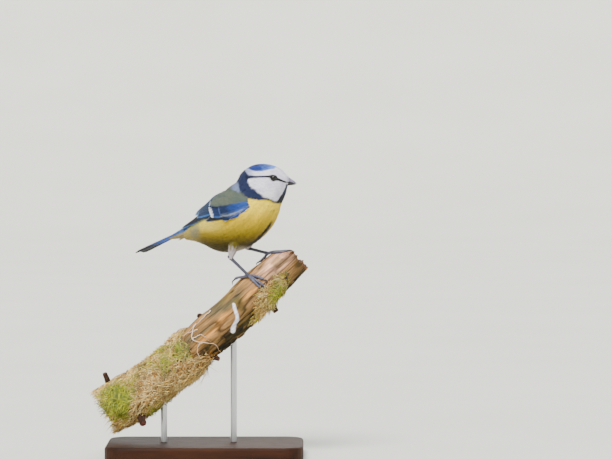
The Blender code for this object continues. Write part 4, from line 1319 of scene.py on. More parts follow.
def vane_corners(
    middle: Array, edge: Array, up: Array, outer: Array, inner: Array, thick: float = 0.28
) -> tuple[Array, Array, Array]:
    """Works out closed feather vanes.

    Across a vane the upper face is the middle line plus the edge direction times the width, cambered by
    0.12 times the width times one less the square, with a round shaft on the middle; the lower face lies
    the thickness under it.

    Args:
        middle: Middle lines, shaped (pieces, rows, 3).
        edge: The direction towards the outer edge, of the same shape.
        up: The direction off the wing, of the same shape.
        outer: Outer half-widths, shaped (pieces, rows).
        inner: Inner half-widths, of the same shape.
        thick: The vane's thickness.

    Returns:
        Corners shaped (pieces, rows, sides, 3), their places across from -1 to 1, and their widths.
    """
    across = np.array([-1.0, -0.84, -0.5, -0.1, 0.0, 0.1, 0.4, 0.72, 0.86, 1.0])
    upper = np.concatenate([across, across[::-1][1:-1]])
    lower = np.concatenate([np.zeros(len(across)), np.ones(len(across) - 2)])
    width = np.where(upper > 0, outer[..., None], inner[..., None])
    camber = 0.12 * width * (1 - upper**2)
    shaft = 0.13 * np.exp(-((upper * width / 0.16) ** 2)) * (1 - lower)
    rows = np.linspace(0, 1, middle.shape[1])[None, :, None]
    height = camber + shaft * (1.2 - rows) - lower * thick * (1 - upper**2 * 0.5)
    points = middle[:, :, None] + edge[:, :, None] * (upper * width)[..., None] + up[:, :, None] * height[..., None]
    return points, np.broadcast_to(upper, width.shape), width


def cell_map(number: object, cells: int, place: Array, rows: Array) -> Array:
    """Gives feathers' places on a bake map of square cells.

    Across a cell the place is its middle plus 0.44 times that across the vane, and along it 0.06 plus 0.88
    times that along the vane.

    Args:
        number: Each feather's cell, counted row by row.
        cells: Cells along each side of the map.
        place: Places across the vanes, from -1 to 1.
        rows: Places along them, from 0 to 1.

    Returns:
        Two numbers from 0 to 1 for each corner.
    """
    return np.stack([number % cells + 0.5 + 0.44 * place, number // cells + 0.06 + 0.88 * rows], axis=-1) / cells


@dataclass(frozen=True)
class WingTier:
    """One row of a wing's feathers, given for its first and its last feather."""

    count: int
    roots: tuple
    tips: tuple
    widths: tuple
    heights: tuple
    dress: VaneDress
    rows: int = 12
    blunt: float = 0.55
    lean: float = 0.38


WING_CELLS = 12
PRIMARY_DRESS = VaneDress((54, 76, 112), (34, 38, 50), (112, 142, 180), (80, 84, 92), 0.14, 0.05)
SECONDARY_DRESS = VaneDress((76, 124, 176), (50, 76, 108), (92, 140, 190), (110, 146, 180), 0.30, 0.05)
TERTIAL_DRESS = VaneDress((86, 132, 172), (72, 112, 150), (120, 160, 200), (150, 182, 212), 0.22, 0.07)
COVERT_DRESS = VaneDress((58, 98, 150), (42, 68, 108), (70, 112, 164), (240, 242, 250), 0.25, 0.16)
HAND_COVERT_DRESS = VaneDress((34, 50, 74), (26, 32, 44), (50, 74, 106), (90, 106, 130), 0.2, 0.06)
MEDIAN_DRESS = VaneDress((50, 84, 138), (38, 60, 100), (58, 96, 150), (66, 104, 156), 0.25, 0.08)


@dataclass
class Wing:
    """One folded wing, feather by feather, on the surface that the solid's wing follows."""

    side: Side
    lower: tuple = (
        (15.0, 15.4, 9.6), (2.5, 17.6, 2.7), (-10.0, 16.6, 0.5),
        (-20.0, 13.2, -0.8), (-30.0, 8.6, -2.6), (-38.5, 5.0, -4.0),
    )  # fmt: skip
    upper: tuple = (
        (12.5, 13.4, 17.2), (1.0, 11.8, 19.2), (-10.0, 7.4, 16.9),
        (-20.0, 3.9, 10.2), (-29.5, 2.3, 4.2), (-38.0, 4.0, -3.4),
    )  # fmt: skip
    bulge: tuple = (1.6, 2.4, 2.4, 1.8, 1.0, 0.3)
    tiers: tuple = (
        WingTier(9, ((0.30, 0.16), (0.32, 0.12)), ((0.74, 0.38), (1.0, 0.20)),
            (4.4, 2.9), ((0.0, 0.10), (0.0, -0.25)), PRIMARY_DRESS),
        WingTier(6, ((0.36, 0.24), (0.36, 0.70)), ((0.70, 0.38), (0.71, 0.76)),
            (4.8, 4.6), ((0.3, 0.45), (0.3, 0.55)), SECONDARY_DRESS),
        WingTier(3, ((0.34, 0.72), (0.34, 0.86)), ((0.78, 0.80), (0.66, 0.90)),
            (4.4, 4.4), ((0.5, 0.45), (0.5, 0.5)), TERTIAL_DRESS),
        WingTier(9, ((0.22, 0.12), (0.30, 0.86)), ((0.43, 0.17), (0.54, 0.80)),
            (3.4, 3.2), ((0.9, 1.0), (0.8, 1.0)), COVERT_DRESS, 10, 0.7),
        WingTier(5, ((0.16, 0.06), (0.20, 0.16)), ((0.52, 0.05), (0.46, 0.14)),
            (2.2, 2.4), ((0.7, 0.6), (0.9, 0.8)), HAND_COVERT_DRESS, 10, 0.6),
        WingTier(9, ((0.15, 0.12), (0.20, 0.70)), ((0.31, 0.14), (0.37, 0.70)),
            (3.0, 3.0), ((1.1, 1.35), (1.1, 1.35)), MEDIAN_DRESS, 8, 0.7),
    )  # fmt: skip

    def place(self, along: object, across: object, height: object = 0.0) -> Array:
        """Gives the wing's surface.

        Its lower and upper edges are smooth curves, and between them it bulges by four times the place
        across times one less it, out along the cross product of both directions.

        Args:
            along: From the bend, 0, to the tip, 1.
            across: From the lower edge, 0, to the upper, 1.
            height: Millimetres off the wing.

        Returns:
            Places in the model's frame.
        """
        along, across, height = alike(along, across, height)
        row = along * (len(self.lower) - 1)
        low, high = smooth(self.lower, row), smooth(self.upper, row)
        swell = smooth(self.bulge, row) * 4 * across * (1 - across)
        ahead = smooth(self.lower, row - 0.05) - smooth(self.lower, row + 0.05)
        out = unit(np.cross(high - low, ahead))
        out = out * np.where(out[..., 1:2] < 0, -1, 1)
        points = low + (high - low) * across[..., None] + out * (swell + height)[..., None]
        return STANCE.place(points * (1, self.side.value, 1))

    def lay(self, weave: Weave, tier: WingTier, cell: int) -> None:
        """Lays one tier of feathers.

        Args:
            weave: The mesh being gathered.
            tier: The tier's sizes.
            cell: The first free cell of the bake's map.
        """
        order = np.linspace(0, 1, tier.count)[:, None]
        share = np.linspace(0, 1, tier.rows)[None, :]
        root, tip = between(tier.roots, order), between(tier.tips, order)
        high = between(tier.heights, order)
        along = between((root[:, :1], tip[:, :1]), share)
        across = between((root[:, 1:], tip[:, 1:]), share**1.3)
        lift = between((high[:, :1], high[:, 1:]), share)
        middle = self.place(along, across, lift)
        above = unit(self.place(along, across, lift + 1) - middle)
        ahead = unit(np.gradient(middle, axis=1))
        edge = unit(np.cross(ahead, above)) * self.side.value
        edge = unit(edge - tier.lean * above)
        up = unit(np.cross(ahead, edge)) * self.side.value
        up = up * np.sign(np.sum(up * above, axis=-1, keepdims=True))
        rounding = 1 - np.clip((share - tier.blunt) / (1.02 - tier.blunt), 0, 1) ** 2.2
        shape = np.minimum(1, 0.55 + share * 1.5) * rounding**0.5
        width = between(tier.widths, order)
        ragged = 1 + 0.05 * np.sin(37 * share + 5 * order) + 0.03 * np.sin(71 * share + 9 * order)
        half = np.maximum(width / 2 * shape, 0.08)
        points, place, spans = vane_corners(middle, edge, up, half * 0.8 * ragged, half * 1.2 * ragged)
        rows = np.broadcast_to(share[..., None], place.shape)
        tone = 0.92 + 0.16 * scatter(tier.count, 1, cell + 3)[:, :, None, None]
        tint = tier.dress.tint(rows, place) * tone
        length = np.linalg.norm(middle[:, -1] - middle[:, 0], axis=-1)[:, None, None]
        lie = np.stack([place * spans, rows * length + 3.7 * order[..., None]], axis=-1)
        bake = cell_map((cell + np.arange(tier.count))[:, None, None], WING_CELLS, place, rows)
        weave.shells(points, tint, lie, bake)

    def build(self) -> None:
        """Makes the wing's firm feathers, and the soft ones over its bend and upper edge."""
        name = self.side.name.lower()
        weave = Weave()
        cell = 0
        for tier in self.tiers:
            self.lay(weave, tier, cell)
            cell += tier.count
        weave.make(f"wing_vanes_{name}", VANES, "wing_feather", f"wing_{name}")
        WingDown(f"wing_coverts_{name}", WingForm(self), seed=31 + self.side.value).build("wing_feather")


@dataclass(frozen=True)
class WingForm(Form):
    """The wing's surface as a form: at counts back to front, and turn from the lower edge to the upper."""

    wing: Wing
    span: tuple = (0.0, 1.0)

    def surface(self, at: object, turn: object, grow: object = 0.0) -> Array:
        """Reads the wing's own surface, with at 1 at the bend."""
        return self.wing.place(1 - np.asarray(at, float), turn, np.asarray(grow, float))


@dataclass(frozen=True)
class WingDown(Coat):
    """The small coverts on the wing's bend, and the shoulder feathers that hang over its upper edge."""

    at_range: tuple = (0.60, 1.02)
    turn_range: tuple = (-0.04, 1.02)
    lengths: tuple = (4.6, 4.6, 4.6, 3.6)
    widths: tuple = (2.6, 2.6, 2.6, 2.2)
    lifts: tuple = (0.9, 0.9, 0.9, 0.8)
    layers: float = 9.0
    mess: float = 0.10

    def shoulder(self, at: Array, turn: Array) -> Array:
        """Gives how far above the shoulder feathers' lower border a place lies, in shares of the wing."""
        along = 1 - at
        return turn - np.interp(along, [0.0, 0.2, 0.38, 0.46], [0.46, 0.45, 0.43, 0.62])

    def clear(self, at: Array, turn: Array) -> Array:
        """Keeps roots on the bend, and on the upper edge as far as the shoulder feathers reach."""
        along = 1 - at
        return (along < 0.24) | ((self.shoulder(at, turn) > 0.0) & (along < 0.41))

    def depth(self, at: Array) -> Array:
        """Starts the feathers well over the wing's surface, over the rows under them."""
        return -1.0 - 0.5 * rise(0.95, 0.75, at)

    def tint(self, at: Array, turn: Array) -> Array:
        """Bright blue on the bend, grey-green on the shoulder, and a pale rim along the lower edge."""
        points = self.form.surface(at, turn)
        blue = shade((44, 78, 146), (80, 124, 194), patchy(points, 1.6, 8))
        blue = blend(blue, colour(96, 138, 204), rise(0.10, 0.0, 1 - at) * 0.4)
        blue = blend(blue, colour(44, 70, 108), rise(0.13, 0.24, 1 - at + 0.05 * mottle(points, 1.2, 4)))
        grey = shade((128, 134, 120), (108, 122, 118), patchy(points, 3.0, 5))
        tint = blend(blue, grey, rise(-0.05, 0.03, self.shoulder(at, turn)))
        grain = np.stack([at * 40, turn * 16, 0 * at], axis=-1)
        pale = rise(-0.1, 0.35, mottle(grain, (5.0, 0.55, 1.0), 18))
        pale = pale * rise(0.20, 0.06, turn) * rise(0.0, 0.1, 1 - at)
        return blend(tint, colour(200, 206, 216), 0.5 * pale)


# The tail


@dataclass
class Tail:
    """The folded tail: the middle pair on top and each outer pair lower and further out."""

    root: tuple = (-31.0, -3.1)
    tip: tuple = (-70.4, -19.5)
    pairs: int = 6
    width: float = 4.3
    step_out: float = 0.72
    step_down: float = 0.13
    fork: float = 0.5
    rows: int = 22

    def build(self) -> None:
        """Makes the twelve feathers and the soft coverts round their roots."""
        weave = Weave()
        share = np.linspace(0, 1, self.rows)
        length = math.dist(self.root, self.tip)
        for number in range(self.pairs * 2):
            pair, sign = number // 2, (-1, 1)[number % 2]
            reach = 1.03 - self.fork * (1 - pair / (self.pairs - 1)) ** 1.5 / length
            out = (pair * self.step_out + 0.45) * (0.55 + 0.75 * share)
            down = pair * self.step_down * (1.25 - 0.55 * share)
            u = self.root[0] + (self.tip[0] - self.root[0]) * share * reach
            z = self.root[1] + (self.tip[1] - self.root[1]) * share * reach + 1.5 * (1 - share) - down
            middle = np.stack([u, sign * out, z], axis=-1)
            ahead = unit(np.gradient(middle, axis=0))
            roll = math.radians(8 + 5.0 * pair)
            edge = np.array((0.0, sign * math.cos(roll), -math.sin(roll)))
            edge = unit(edge - ahead * (ahead @ edge)[:, None])
            up = np.cross(edge, ahead)
            up = up * np.where(up[:, 2:3] < 0, -1, 1)
            rounding = (1 - np.clip((share - 0.90) / 0.103, 0, 1) ** 3.0) ** 0.5
            half = self.width / 2 * (0.62 + 0.38 * share) * rounding + 0.06
            half = half * (1 + 0.03 * np.sin(43 * share + 3 * number))
            outer_web = half * (1.0 if pair == 0 else 0.7)
            points, place, spans = vane_corners(middle[None], edge[None], up[None], outer_web[None], half[None])
            points = STANCE.place(points)
            rows = np.broadcast_to(share[None, :, None], place.shape)
            dress = VaneDress((66, 106, 180), (44, 62, 104), (92, 132, 196), (22, 28, 40), 0.3, 0.46)
            if pair == self.pairs - 1:
                dress = VaneDress((66, 104, 172), (46, 64, 100), (84, 120, 176), (22, 28, 40), 0.14, 0.46)
            if pair == 0:
                dress = VaneDress((70, 114, 192), (66, 108, 184), (98, 140, 204), (26, 36, 54), 0.3, 0.46)
            tint = dress.tint(rows, place)
            lie = np.stack([place * spans, rows * length + 3.7 * number], axis=-1)
            bake = cell_map(number, 4, place, rows)
            weave.shells(points, tint, lie, bake)
        weave.make("tail_vanes", VANES, "tail_feather", "tail")
        TailDown("tail_coverts", TailForm(self), seed=41).build("tail_feather")


@dataclass(frozen=True)
class TailForm(Form):
    """The cushion of coverts round the tail's root: at 1 is the root and 0 its end."""

    tail: Tail
    span: tuple = (0.0, 1.0)

    def surface(self, at: object, turn: object, grow: object = 0.0) -> Array:
        """Gives a flattened round about the tail's middle line, which thins towards its end."""
        at, turn, grow = alike(at, turn, grow)
        share = 1 - at
        place = 0.02 + 0.46 * share
        u, z = (between(ends, place) for ends in zip(self.tail.root, self.tail.tip))
        z = z - 1.2 * (1 - share)
        wide = 4.4 - 1.0 * share + grow
        tall = 3.4 * (1 - np.clip(share, 0, 1) ** 1.5) + 0.7 + grow
        own = np.stack([u, wide * np.sin(turn), z + tall * np.cos(turn)], axis=-1)
        return STANCE.place(own)


@dataclass(frozen=True)
class TailDown(Coat):
    """Blue coverts over the tail's root, and buff ones under it."""

    at_range: tuple = (0.25, 1.0)
    turn_range: tuple = (-math.pi, math.pi)
    lengths: tuple = (4.5, 5.5)
    widths: tuple = (2.2, 2.6)
    lifts: tuple = (0.5, 0.8)
    layers: float = 7.0
    mess: float = 0.10

    def clear(self, at: Array, turn: Array) -> Array:
        """Keeps every root, as no eye is near."""
        return np.ones(at.shape, bool)

    def depth(self, at: Array) -> Array:
        """Starts the coverts a little under the cushion's surface."""
        return 0.5 + 0 * at

    def tint(self, at: Array, turn: Array) -> Array:
        """Blue above, turning to buff white below."""
        return shade((96, 128, 172), (196, 182, 140), rise(1.3, 2.0, np.abs(turn)))


# The branch


@dataclass(frozen=True)
class Perch:
    """The branch's middle line, its wood and its moss, measured from the broken end."""

    line: tuple = (
        (57.3, 125.8), (37.8, 108.4), (19.5, 91.0), (0.8, 75.3), (-18.5, 58.3), (-40.0, 41.6), (-62.4, 28.7),
    )  # fmt: skip
    radii: tuple = (10.3, 12.6, 13.2, 12.9, 11.2, 10.8, 10.6)
    step: float = 25.8
    length: float = 154.8
    break_height: float = 4.6
    break_length: float = 9.6
    moss_start: float = 84.0
    moss_depth: float = 2.6

    def frame(self, along: Array) -> tuple[Array, Array, Array]:
        """Gives the middle line, its direction and its upper side at distances from the broken end."""
        along = np.asarray(along, float)
        row = np.clip(along / self.step, 0, len(self.line) - 1)
        ahead = unit(smooth(self.line, row + 0.02) - smooth(self.line, row - 0.02))
        centre = smooth(self.line, row) + ahead * (along - row * self.step)[..., None]
        zero = 0 * centre[..., 0]
        middle = np.stack([centre[..., 0], zero, centre[..., 1]], axis=-1)
        line = np.stack([ahead[..., 0], zero, ahead[..., 1]], axis=-1)
        upper = np.stack([ahead[..., 1], zero, -ahead[..., 0]], axis=-1)
        return middle, line, upper

    def wood_radius(self, along: Array, turn: Array) -> Array:
        """Gives the wood's radius: a taper times three and seven long ridges, cut by the broken slope."""
        radius = smooth(self.radii, along / self.step)
        ridges = 0.030 * np.cos(3 * turn + 0.035 * along) + 0.018 * np.cos(7 * turn - 0.05 * along + 1)
        radius = radius * (1 + ridges + 0.02 * np.sin(0.16 * along + 2 * np.cos(turn)))
        climb = (smooth(self.radii, 0.4) - self.break_height) * along / self.break_length
        slope = (self.break_height + climb) / np.maximum(np.cos(turn), 0.05)
        on_slope = (along < self.break_length) & (np.cos(turn) > 0.05)
        return np.where(on_slope, np.minimum(radius, slope), radius)

    def place(self, along: object, turn: object, height: object = 0.0) -> Array:
        """Gives a place over the bare wood.

        Args:
            along: Millimetres from the broken end.
            turn: 0 on the upper side and a quarter turn on the viewer's side.
            height: Millimetres over the wood.

        Returns:
            Places in the model's frame.
        """
        along, turn, height = alike(along, turn, height)
        middle, _, upper = self.frame(along)
        radius = (self.wood_radius(along, turn) + height)[..., None]
        ring = np.cos(turn)[..., None] * upper + np.sin(turn)[..., None] * np.array((0.0, -1.0, 0.0))
        return middle + radius * ring

    def seen(self, spots: object) -> tuple[Array, Array]:
        """Finds where on the branch spots of the side view lie, on the viewer's side.

        The distance along is that of the nearest point of the middle line, and the turn is the angle whose
        cosine is the spot's distance from the middle line over the wood's radius.

        Args:
            spots: Places as x and z.

        Returns:
            The distances along and the turns.
        """
        spots = np.asarray(spots, float)
        along = np.linspace(0, self.length, 800)
        middle, _, upper = self.frame(along)
        off = spots[:, None] - middle[:, [0, 2]]
        nearest = np.argmin(np.linalg.norm(off, axis=-1), axis=1)
        off = off[np.arange(len(spots)), nearest]
        aside = (off * upper[nearest][:, [0, 2]]).sum(axis=-1)
        radius = smooth(self.radii, along[nearest] / self.step)
        return along[nearest], np.arccos(np.clip(aside / radius, -0.97, 0.97))

    def sleeve_depth(self, along: Array, turn: Array) -> Array:
        """Gives the moss's depth over the wood along the covered stretch, under 0 before its ragged start."""
        swell = 1 + 0.22 * np.sin(0.13 * along + 3 * np.cos(turn)) + 0.18 * np.cos(4 * turn + 0.09 * along)
        ragged = along + 3 * np.cos(2 * turn + 0.5) + 1.8 * np.cos(5 * turn)
        thin = 1.6 * rise(self.moss_start, self.moss_start + 6, ragged)
        return -0.6 + thin + self.moss_depth * swell * rise(self.moss_start + 2, self.moss_start + 16, ragged)

    def tuft_depth(self, along: Array, turn: Array) -> Array:
        """Gives the depth of the cushion near the broken end, under 0 past its rim."""
        ahead = along - 27
        across = np.degrees(turn) - 131 - 0.7 * ahead
        far = ahead / (18 + 3 * np.cos(7 * turn))
        wide = across / (30 + 5 * np.sin(0.5 * along))
        return -0.7 + 3.4 * np.maximum(1 - wide**2 - far**2, 0) ** 0.6


PERCH = Perch()


@dataclass
class Branch:
    """The weathered wood with its broken end and twigs."""

    rings: int = 360
    sides: int = 200
    arc: float = 12.5
    twigs: dict = field(
        default_factory=lambda: {
            "knot": (72, -10, 0.5, 1.4, 1.5),
            "low": (83.2, 157, -3, 4.8, 1.5),
            "scrap": (31.5, 172, 1, 4.9, 1.9),
            "buried": (136, 147, 2, 10.5, 2.4),
            "upright": (146, 3, -2, 10.8, 1.7),
        }
    )
    pale_grain: tuple = ((33.0, 108.0), (17.7, 94.3), (3.3, 79.0))
    lime_drops: tuple = (
        (18.4, 96.6, 0.95), (19.2, 93.5, 1.05), (20.2, 90.2, 1.0), (20.4, 87.2, 1.15), (19.0, 84.4, 1.1),
        (18.1, 82.0, 1.5), (17.7, 79.8, 1.35),
    )  # fmt: skip
    rootlets: tuple = (
        ((-5.4, 84.0), (-7.4, 75.0), (-1.6, 73.0), (6.2, 71.6), (8.6, 68.2), (11.0, 65.0)),
        ((4.2, 92.4), (-1.5, 87.5), (-8.3, 80.8), (-13.0, 75.0)),
        ((-1.6, 73.0), (-4.5, 70.0), (-3.5, 64.0), (1.0, 61.0)),
        ((-4.4, 80.5), (-9.0, 79.0), (-13.0, 76.5), (-17.0, 76.0)),
        ((-7.4, 75.0), (-3.0, 77.5), (0.5, 76.5), (2.5, 74.0)),
    )

    def relief(self, along: Array, turn: Array) -> tuple[Array, Array]:
        """Works out the wood's fine relief and its colour.

        The relief is mottling stretched along the grain, with cracks where its absolute value is small,
        and flakes of bark where a broad mottling passes a threshold on the underside.

        Args:
            along: Millimetres from the broken end.
            turn: Angles round the wood.

        Returns:
            Millimetres outwards, and linear colours.
        """
        arc = turn * self.arc
        grain = np.stack([along, arc, 0 * arc], axis=-1)
        fibre = mottle(grain, (16.0, 1.1, 1.0), 1) + 0.5 * mottle(grain, (7.0, 0.5, 1.0), 2)
        crack = np.exp(-((mottle(grain, (24.0, 2.6, 1.0), 3) / 0.09) ** 2))
        lump = mottle(grain, (9.0, 5.0, 1.0), 4)
        degrees = np.degrees((turn + math.pi) % (2 * math.pi) - math.pi)
        edge = degrees + 16 * mottle(grain, (8, 5, 1), 5) - 16 * rise(30, 10, along)
        under = rise(98, 120, edge) + rise(-128, -150, degrees)
        under = np.clip(under, 0, 1)
        flakes = rise(0.0, 0.25, mottle(grain, (6.0, 3.2, 1.0), 6) + 0.5 * mottle(grain, (2.0, 1.4, 1.0), 7))
        out = 0.16 * fibre - 0.55 * crack + 0.22 * lump + under * (0.9 * flakes - 0.5)

        base = shade((162, 134, 96), (198, 164, 118), patchy(grain, (30, 3, 1), 8))
        pink = rise(34, 12, along + 5 * mottle(grain, (9, 2, 1), 17))
        pink = pink * rise(4, 30, degrees) * rise(100, 74, degrees)
        base = blend(base, colour(244, 204, 176), pink)
        grain_line, grain_turn = PERCH.seen(self.pale_grain)
        middle = self.arc * np.interp(along, grain_line, grain_turn) + 0.8 * mottle(grain, (8, 2, 1), 19)
        stripe = rise(2.6, 1.2, np.abs(arc - middle)) * rise(27, 36, along) * rise(90, 76, along)
        base = blend(base, colour(232, 184, 118), 0.9 * stripe)
        grey = rise(0.1, 0.6, mottle(grain, (14, 4, 1), 9) + 0.5) * rise(62, 40, np.abs(degrees - 28))
        base = blend(base, colour(118, 120, 100), 0.75 * grey * rise(34, 44, along))
        olive = rise(0.15, 0.55, mottle(grain, (9, 5, 1), 10))
        base = blend(base, colour(128, 122, 56), 0.55 * olive)
        base = blend(base, colour(104, 78, 54), rise(9, 0, along) * 0.6)
        bark = shade((44, 38, 24), (104, 92, 44), patchy(grain, (4, 3, 1), 11))
        base = blend(base, bark, under * (0.55 + 0.45 * flakes))
        base = base * (0.74 + 0.42 * rise(-1, 1, fibre))[..., None]
        base = base * (1 - 0.72 * crack)[..., None]
        lime, raised = self.lime(along, arc)
        return out * rise(PERCH.length, PERCH.length - 4, along) + raised, blend(base, colour(240, 238, 246), lime)

    def lime(self, along: Array, arc: Array) -> tuple[Array, Array]:
        """Marks the white streak of lime: a line over the wood that is wider at three drops.

        Args:
            along: Millimetres from the broken end.
            arc: Millimetres round the wood from its upper side.

        Returns:
            The streak's share from 0 to 1, and how far it stands out.
        """
        spots, turns = PERCH.seen([row[:2] for row in self.lime_drops])
        points = np.stack([spots, turns * self.arc], axis=-1)
        widths = np.array([row[2] for row in self.lime_drops])
        place = np.linspace(0, len(widths) - 1, 30)
        spine, width = smooth(points, place), smooth(widths, place)
        depth = np.full(along.shape, -9.0)
        for (a, b), wide in zip(spine, width):
            depth = np.maximum(depth, wide - np.hypot(along - a, arc - b))
        return rise(-0.15, 0.2, depth), 0.35 * rise(-0.2, 1.0, depth)

    def build(self) -> None:
        """Makes the wood, its broken face and its twigs."""
        weave = Weave()
        along = np.linspace(0, PERCH.length, self.rings)[:, None] + 0 * np.arange(self.sides)
        turn = np.linspace(-math.pi, math.pi, self.sides, endpoint=False)[None, :] + 0 * along
        out, tint = self.relief(along, turn)
        splinters = 1.1 * np.sin(5 * turn) * np.cos(2 * turn + 0.6) - 0.7 * np.cos(9 * turn)
        splinters = splinters + 0.5 * np.sin(23 * turn + 1) + 0.35 * np.sin(41 * turn)
        _, line, _ = PERCH.frame(along)
        rings = PERCH.place(along, turn, out) + line * (splinters * (1 - rise(0, 9, along)))[..., None]
        face, face_tint = self.broken_face(rings[0], turn[0])
        rings = np.concatenate([face, rings])[None]
        tint = np.concatenate([face_tint, tint])[None]
        weave.shells(rings, tint)
        for sizes in self.twigs.values():
            self.twig(weave, *sizes)
        weave.make("wood", WOOD, "bark", "perch_wood")
        self.rootlet_tubes()

    def rootlet_tubes(self) -> None:
        """Makes the pale rootlets that cling to the wood before the moss: thin tubes over the surface."""
        weave = Weave()
        share = np.linspace(0, 1, 48)
        for number, spots in enumerate(self.rootlets):
            along, turn = (smooth(values, share * (len(spots) - 1)) for values in PERCH.seen(spots))
            height = 0.45 + 0.35 * np.sin(7 * share + number)
            path = PERCH.place(along, turn, height)
            wobble = np.stack([share * 19 + number, share * 3, 0 * share], axis=-1)
            path = path + 0.5 * np.stack([mottle(wobble, 1.0, k) for k in (41, 42, 43)], axis=-1)
            girth = (0.34 - 0.2 * share) * (1 + 0.15 * np.sin(60 * share))
            over = PERCH.place(along, turn, 1) - PERCH.place(along, turn, 0)
            rings = tube_rings(path[None], girth[None, :, None] * np.ones(6), over[None], 6)
            weave.shells(rings, shade((238, 220, 206), (206, 176, 140), share)[:, None])
        weave.make("rootlets", MOSS, "moss")

    def broken_face(self, rim: Array, turn: Array) -> tuple[Array, Array]:
        """Closes the broken end with rings that run in from its rim and stand out by a rough mottling.

        Args:
            rim: The first ring of the wood.
            turn: The rim's angles.

        Returns:
            The face's rings, inmost first, and their colours.
        """
        _, line, _ = PERCH.frame(np.array(0.0))
        share = np.linspace(0.06, 0.97, 16)[:, None]
        radius = np.linalg.norm(rim - rim.mean(axis=0), axis=-1)
        spot = np.stack([share * radius * np.cos(turn), share * radius * np.sin(turn), 0 * share * turn], axis=-1)
        rough = 1.2 * mottle(spot, (1.6, 1.6, 1), 12) + 0.6 * mottle(spot, (0.8, 0.8, 1), 13)
        inner = rim.mean(axis=0) + (rim - rim.mean(axis=0)) * share[..., None]
        inner = inner + line * ((1 - share**4) * (rough + 0.4))[..., None]
        rings = 0.5 + 0.5 * np.sin(radius * share * 3.0)
        tint = shade((120, 84, 58), (176, 136, 100), rings * 0.6 + 0.2 * rough)
        return inner, tint

    def twig(self, weave: Weave, along: float, degrees: float, lean: float, length: float, radius: float) -> None:
        """Adds one broken twig: a tapered round with a rough end.

        Args:
            weave: The mesh being gathered.
            along: Where it leaves the wood.
            degrees: On which side.
            lean: How far it leans along the branch.
            length: How far it stands out.
            radius: Its radius at the root.
        """
        turn = math.radians(degrees)
        _, line, _ = PERCH.frame(np.array(float(along)))
        out = unit(PERCH.place(along, turn, 1) - PERCH.place(along, turn, 0))
        root = PERCH.place(along, turn, -radius * 1.5)
        tip = PERCH.place(along, turn, length) + line * lean
        share = np.linspace(0, 1, 30)
        guide = np.array([root, root + out * radius * 1.6, (root + out * radius + tip) / 2, tip])
        path = smooth(guide, share * 3)[None]
        sides = 28
        angle = circle(sides)
        girth = np.interp(share, [0, 0.33, 0.66, 0.97, 1.0], radius * np.array([1.5, 1.3, 1.05, 0.86, 0.6]))
        place = (share[:, None] * length, np.cos(angle) * radius, np.sin(angle) * radius)
        place = np.stack(np.broadcast_arrays(*place), axis=-1)
        rough = 0.16 * mottle(place, (3.0, 0.7, 0.7), 14) + 0.08 * mottle(place, (0.8, 0.4, 0.4), 15)
        rings = tube_rings(path, (girth[:, None] * (1 + rough))[None], np.array((0.3, -0.9, 0.2)), sides)
        tint = shade((62, 44, 34), (112, 82, 62), patchy(place, (2.0, 0.6, 0.6), 16))
        tint = blend(tint, colour(150, 104, 92), rise(0.95, 1.0, share)[:, None] + 0 * angle)
        weave.shells(rings, tint)


